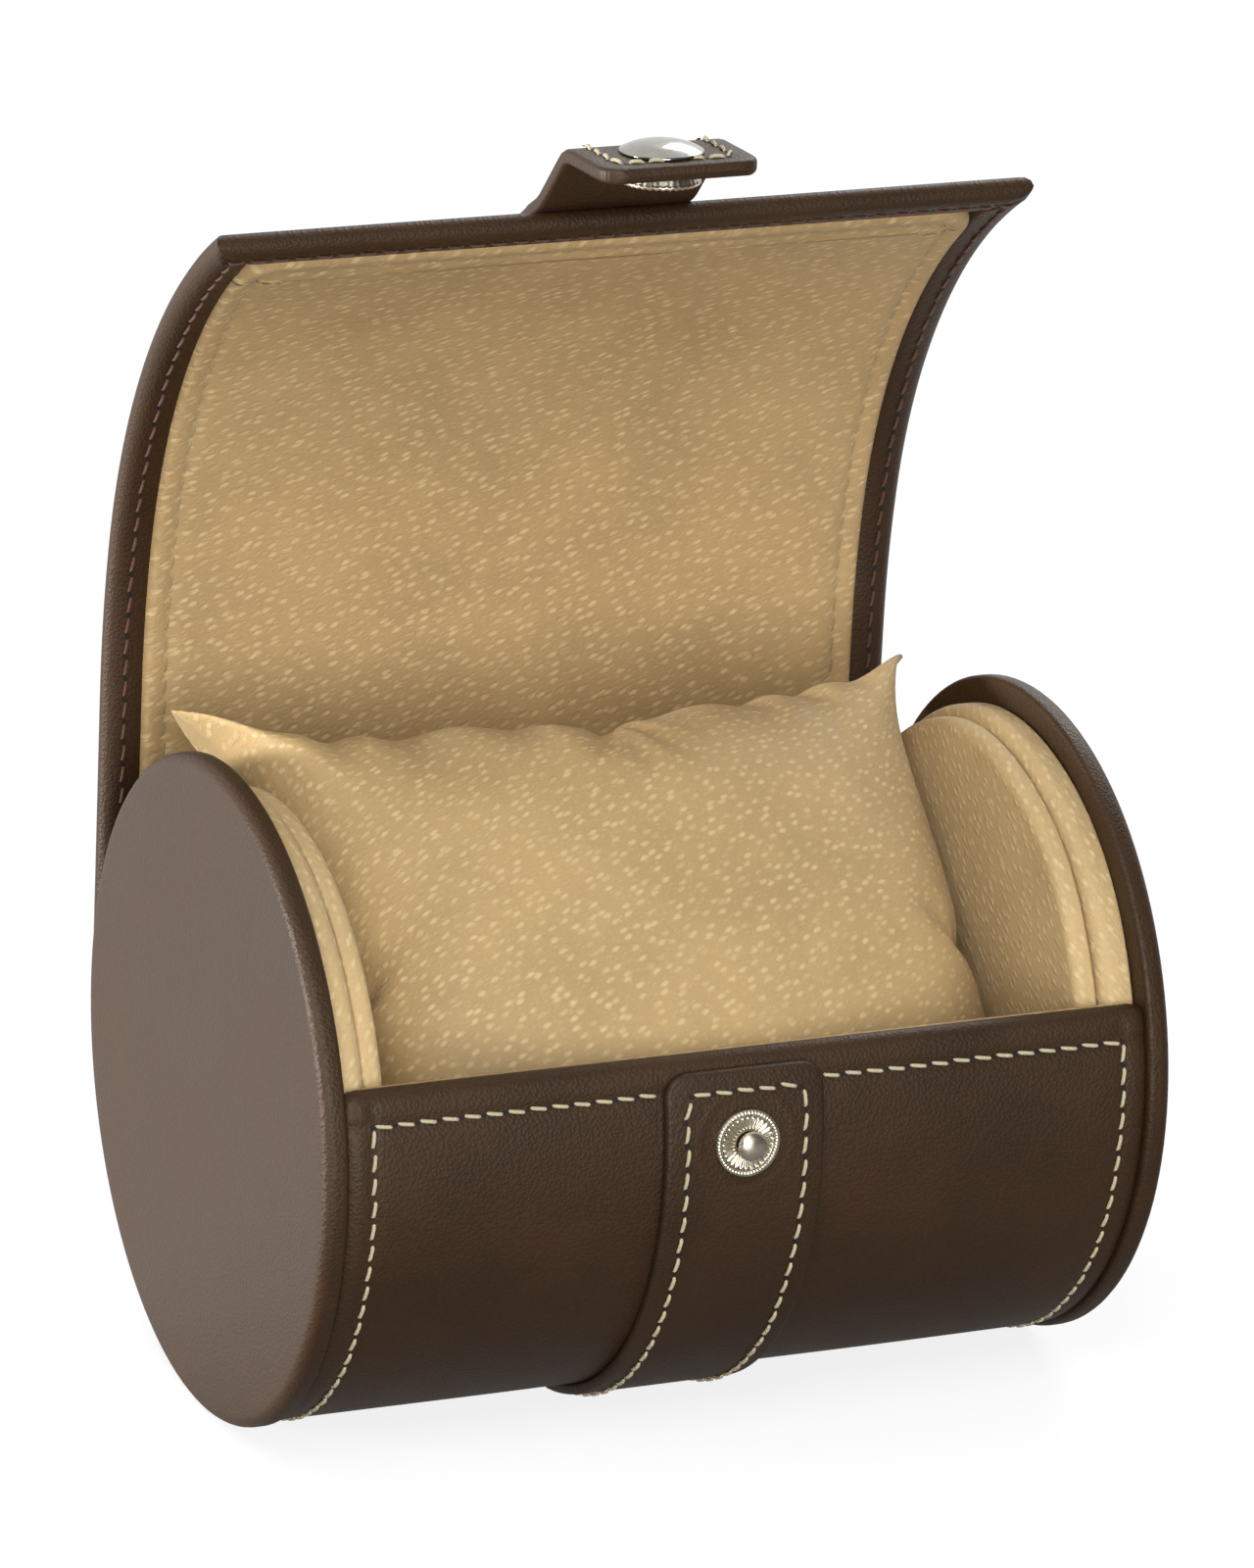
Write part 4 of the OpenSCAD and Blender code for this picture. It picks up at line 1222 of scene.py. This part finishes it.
def panels():
    """Two panels joined along their edge: points, places on the flat sheet, faces."""
    u, v = mesh_grid(np.linspace(-1, 1, COLUMNS + 1), np.linspace(-1, 1, ROWS + 1))
    crown = DOME * np.sqrt(np.clip((1 - np.abs(u) ** 2.5) * (1 - np.abs(v) ** 2.5), 0, 1))
    x, z = PANEL_HALF_W * u, PANEL_HALF_H * v
    front, back = (np.stack([x, side * crown, z], -1) for side in (-1, 1))
    first = np.arange(u.size).reshape(u.shape)
    second = first.copy()
    inside = np.zeros(u.shape, bool)
    inside[1:-1, 1:-1] = True
    second[inside] = np.arange(inside.sum()) + u.size
    quads = [np.stack([i[:-1, :-1], i[1:, :-1], i[1:, 1:], i[:-1, 1:]], -1).reshape(-1, 4)
             for i in (first, second)]
    points = np.concatenate([front.reshape(-1, 3), back[inside].reshape(-1, 3)])
    flat = np.concatenate([np.stack([x, z, 0 * u], -1).reshape(-1, 3),
                           np.stack([x + 200, z, 0 * u], -1)[inside].reshape(-1, 3)])
    return points, flat, np.concatenate([quads[0], quads[1][:, ::-1]])


print("panels have", len(panels()[0]), "points")

# %% Filling by simulation
def filled(points, faces, frames=30, pressure=5.5):
    """Fills the sewn panels by simulation and gives the points back, in millimetres."""
    mesh = bpy.data.meshes.new("filling_up")
    mesh.from_pydata((points * 0.01).tolist(), [], faces.tolist())
    cloth = bpy.data.objects.new("filling_up", mesh)
    bpy.context.collection.objects.link(cloth)
    modifier = cloth.modifiers.new("cloth", "CLOTH")
    setting = modifier.settings
    setting.use_pressure, setting.uniform_pressure_force = True, pressure
    setting.mass, setting.quality, setting.air_damping = 0.3, 6, 2
    setting.tension_stiffness = setting.compression_stiffness = 15
    setting.shear_stiffness, setting.bending_stiffness = 5, 0.35
    setting.effector_weights.gravity = 0
    modifier.point_cache.frame_end = frames
    for number in range(1, frames + 1):
        bpy.context.scene.frame_set(number)
    result = cloth.evaluated_get(bpy.context.evaluated_depsgraph_get())
    done = np.array([v.co for v in result.data.vertices]) * 100
    bpy.context.scene.frame_set(1)
    bpy.data.objects.remove(cloth)
    return done


def softened(points, faces, weight, times):
    """Draws each point towards the middle of its neighbours, which rounds the tips of the ears."""
    here = np.concatenate([faces, np.roll(faces, -1, 1)]).ravel()
    there = np.concatenate([np.roll(faces, -1, 1), faces]).ravel()
    count = np.bincount(here, minlength=len(points))[:, None]
    for _ in range(times):
        sums = [np.bincount(here, points[there, i], len(points)) for i in range(3)]
        points = points + (np.stack(sums, 1) / count - points) * weight[:, None]
    return points


print("the cloth has", len(panels()[2]), "faces")

# %% Outline and ears of the pillow
LEFT_EAR, RIGHT_EAR, LOW_CORNER = (58.0, 53.8), (56.0, 50.6), (47.6, 40.4)   # half width, height
MID_W, MID_TOP, MID_LOW, THICK = 45.2, 36.6, 39.0, 23.6


def drawn_out(points, faces):
    """Draws the filled pillow to its outline, and adds the puckers at the top and the ears."""
    x, y, z = points.T
    mid_side, corner = np.abs(x[np.abs(z) < 4]).max(), np.abs(x).max()
    mid_top, corner_z = np.abs(z[np.abs(x) < 4]).max(), np.abs(z).max()
    v, u = z / corner_z, np.abs(x) / corner
    left = x < 0
    ear_x, ear_z = (np.where(v > 0, np.where(left, LEFT_EAR[i], RIGHT_EAR[i]), LOW_CORNER[i])
                    for i in (0, 1))
    mid_z = np.where(v > 0, MID_TOP, MID_LOW)
    x = (x * (MID_W + (ear_x - MID_W) * np.abs(v) ** 5.5)
         / (mid_side + (corner - mid_side) * np.abs(v) ** 2.2))
    z = (z * (mid_z + (ear_z - mid_z) * u ** np.where(left, 6.5, 4.5))
         / (mid_top + (corner_z - mid_top) * u ** 2.2))
    y = y * (THICK / np.abs(y).max())
    near_top = np.clip(v * 1.9 - 0.9, 0, 1) ** 2 * (1 - u ** 6)
    pucker = np.sin(0.56 * x + 1.1 * np.sin(0.19 * x + 0.8)) * near_top
    z, y = z + 0.8 * pucker, y + 1.1 * pucker * np.sign(y)
    ear = np.clip((z - 36) / 10, 0, 1) * np.clip((np.abs(x) - 38) / 12, 0, 1)
    y = y * (1 + 0.8 * ear) + 2.0 * ear
    return softened(np.stack([x, y, z], 1), faces, 0.6 * np.clip(ear * 1.5, 0, 1), 5)


print("pillow is to be", 2 * MID_W, "mm wide at its middle")

# %% [markdown]
# ## The pillow in its place
# The pillow leans back in the trough and gives way where it meets the lining, a little more behind
# the front edge. The cloth could be simulated against the trough, but slowly. Here points that would
# pass through the lining are drawn back to it, which looks the same from outside.

# %% The pillow in its place
PILLOW_AT, PILLOW_LEAN = np.array([-6.0, 8.5]), -45.0


def laid_in(points):
    x, y, z = points.T
    t = math.radians(PILLOW_LEAN)
    gy, gz = y * math.cos(t) - z * math.sin(t), y * math.sin(t) + z * math.cos(t)
    gy, gz = gy + PILLOW_AT[0], gz + PILLOW_AT[1]
    far = np.hypot(gy, gz)
    angle = np.degrees(np.arctan2(gz, gy)) % 360
    room = INSIDE_R - 0.5 - 1.8 * np.clip(1 - np.abs(angle - FRONT - 1) / 12, 0, 1)
    limit = np.where(angle > FRONT - 8, np.minimum(1, room / np.maximum(far, 1)), 1)
    return np.stack([x, gy * limit, gz * limit + AXIS], -1)


def pillow():
    points, flat, faces = panels()
    points = filled(points, faces)
    points = laid_in(drawn_out(points, faces))
    print("pillow:", points.min(0).round(1), points.max(0).round(1))
    shape = Shape()
    shape.points, shape.sheet, shape.faces = [points], [flat], [faces]
    shape.marks, shape.count = [np.zeros(len(faces), int)], len(points)
    return shape.make("pillow", [PILLOW_LINING], level=1)


made = pillow()
for modifier in list(made.modifiers):
    with bpy.context.temp_override(object=made, active_object=made):
        bpy.ops.object.modifier_apply(modifier=modifier.name)
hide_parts("pillow_cover", "pillow_filling")
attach(made, "pillow")
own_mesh(made)
print("pillow filled")

# %% [markdown]
# ## Floor, light and background
# A product stands on white paper that runs on into a white wall. Four soft boxes light it: one high
# in front, a fill, a rim light behind and a long low one at its left. Shiny metal and leather mirror
# what stands in front of them, and an all-white room would make them look grey. So the room is white
# for the camera, but dark in front of the case for mirrors.

# %% Levels of the background
FLOOR_GLOW, ROOM, DARK_ROOM = 0.82, 0.5, 0.1
PAPER_GREY = 0.22


def background_level(tree, kind, output, light, mirrored):
    """White for the camera, and behind the case in mirrors. Light that falls on the case has its own
    level, and so has the dark room in front of it that mirrors show."""
    path = tree.nodes.new("ShaderNodeLightPath").outputs
    camera, glossy = Sum(tree, path["Is Camera Ray"]), Sum(tree, path["Is Glossy Ray"])
    place = Sum(tree, tree.nodes.new(kind).outputs[output])
    behind = place.node("ShaderNodeSeparateXYZ", {0: place}, output=1).step(-0.06, 0.06)
    return camera * (1 - light) + glossy * (behind * (1 - mirrored) + (mirrored - light)) + light


print("room seen by mirrors:", DARK_ROOM, "in front and 1 behind")

# %% Paper and soft boxes
def floor():
    shape = Shape()
    a, b = mesh_grid(np.linspace(-6000, 6000, 9), np.linspace(-4000, 9000, 9))
    shape.grid(np.stack([a, b, 0 * a], -1), np.stack([a, b, 0 * a], -1))
    paper = bpy.data.materials.new("paper")
    paper.use_nodes = True
    shader = paper.node_tree.nodes["Principled BSDF"].inputs
    shader["Base Color"].default_value = (PAPER_GREY, PAPER_GREY, PAPER_GREY, 1)
    shader["Roughness"].default_value = 0.9
    shader["Specular IOR Level"].default_value = 0
    glow = background_level(paper.node_tree, "ShaderNodeNewGeometry", "Position", 0, 0) * FLOOR_GLOW
    paper.node_tree.links.new(glow.socket, shader["Emission Color"])
    shader["Emission Strength"].default_value = 1
    shape.make("floor", [paper])


def softbox(name, place, aim, size, watts):
    data = bpy.data.lights.new(name, "AREA")
    data.shape = "RECTANGLE"
    data.size, data.size_y = size
    data.energy = watts
    lamp = bpy.data.objects.new(name, data)
    bpy.context.collection.objects.link(lamp)
    lamp.location = place
    lamp.rotation_euler = (Vector(aim) - Vector(place)).to_track_quat("-Z", "Y").to_euler()


floor()
softbox("key", (-0.6, -0.9, 1.1), (0, 0, 0.08), (0.7, 0.7), 9)
softbox("fill", (-0.3, -1.1, 0.25), (0, 0, 0.08), (0.6, 0.5), 9)
softbox("rim", (0.7, 0.8, 0.8), (0, 0, 0.08), (0.6, 0.4), 5)
softbox("side", (-1.3, 0.25, 0.12), (0, 0, 0.05), (0.5, 0.16), 25)
world = bpy.data.worlds.new("studio")
bpy.context.scene.world = world
world.use_nodes = True
around = background_level(world.node_tree, "ShaderNodeTexCoord", "Generated", ROOM, DARK_ROOM)
world.node_tree.links.new(around.socket, world.node_tree.nodes["Background"].inputs["Color"])
bpy.context.scene.view_settings.view_transform = "Standard"
print("studio lit")

# %% [markdown] Dressing may not change the case's size.
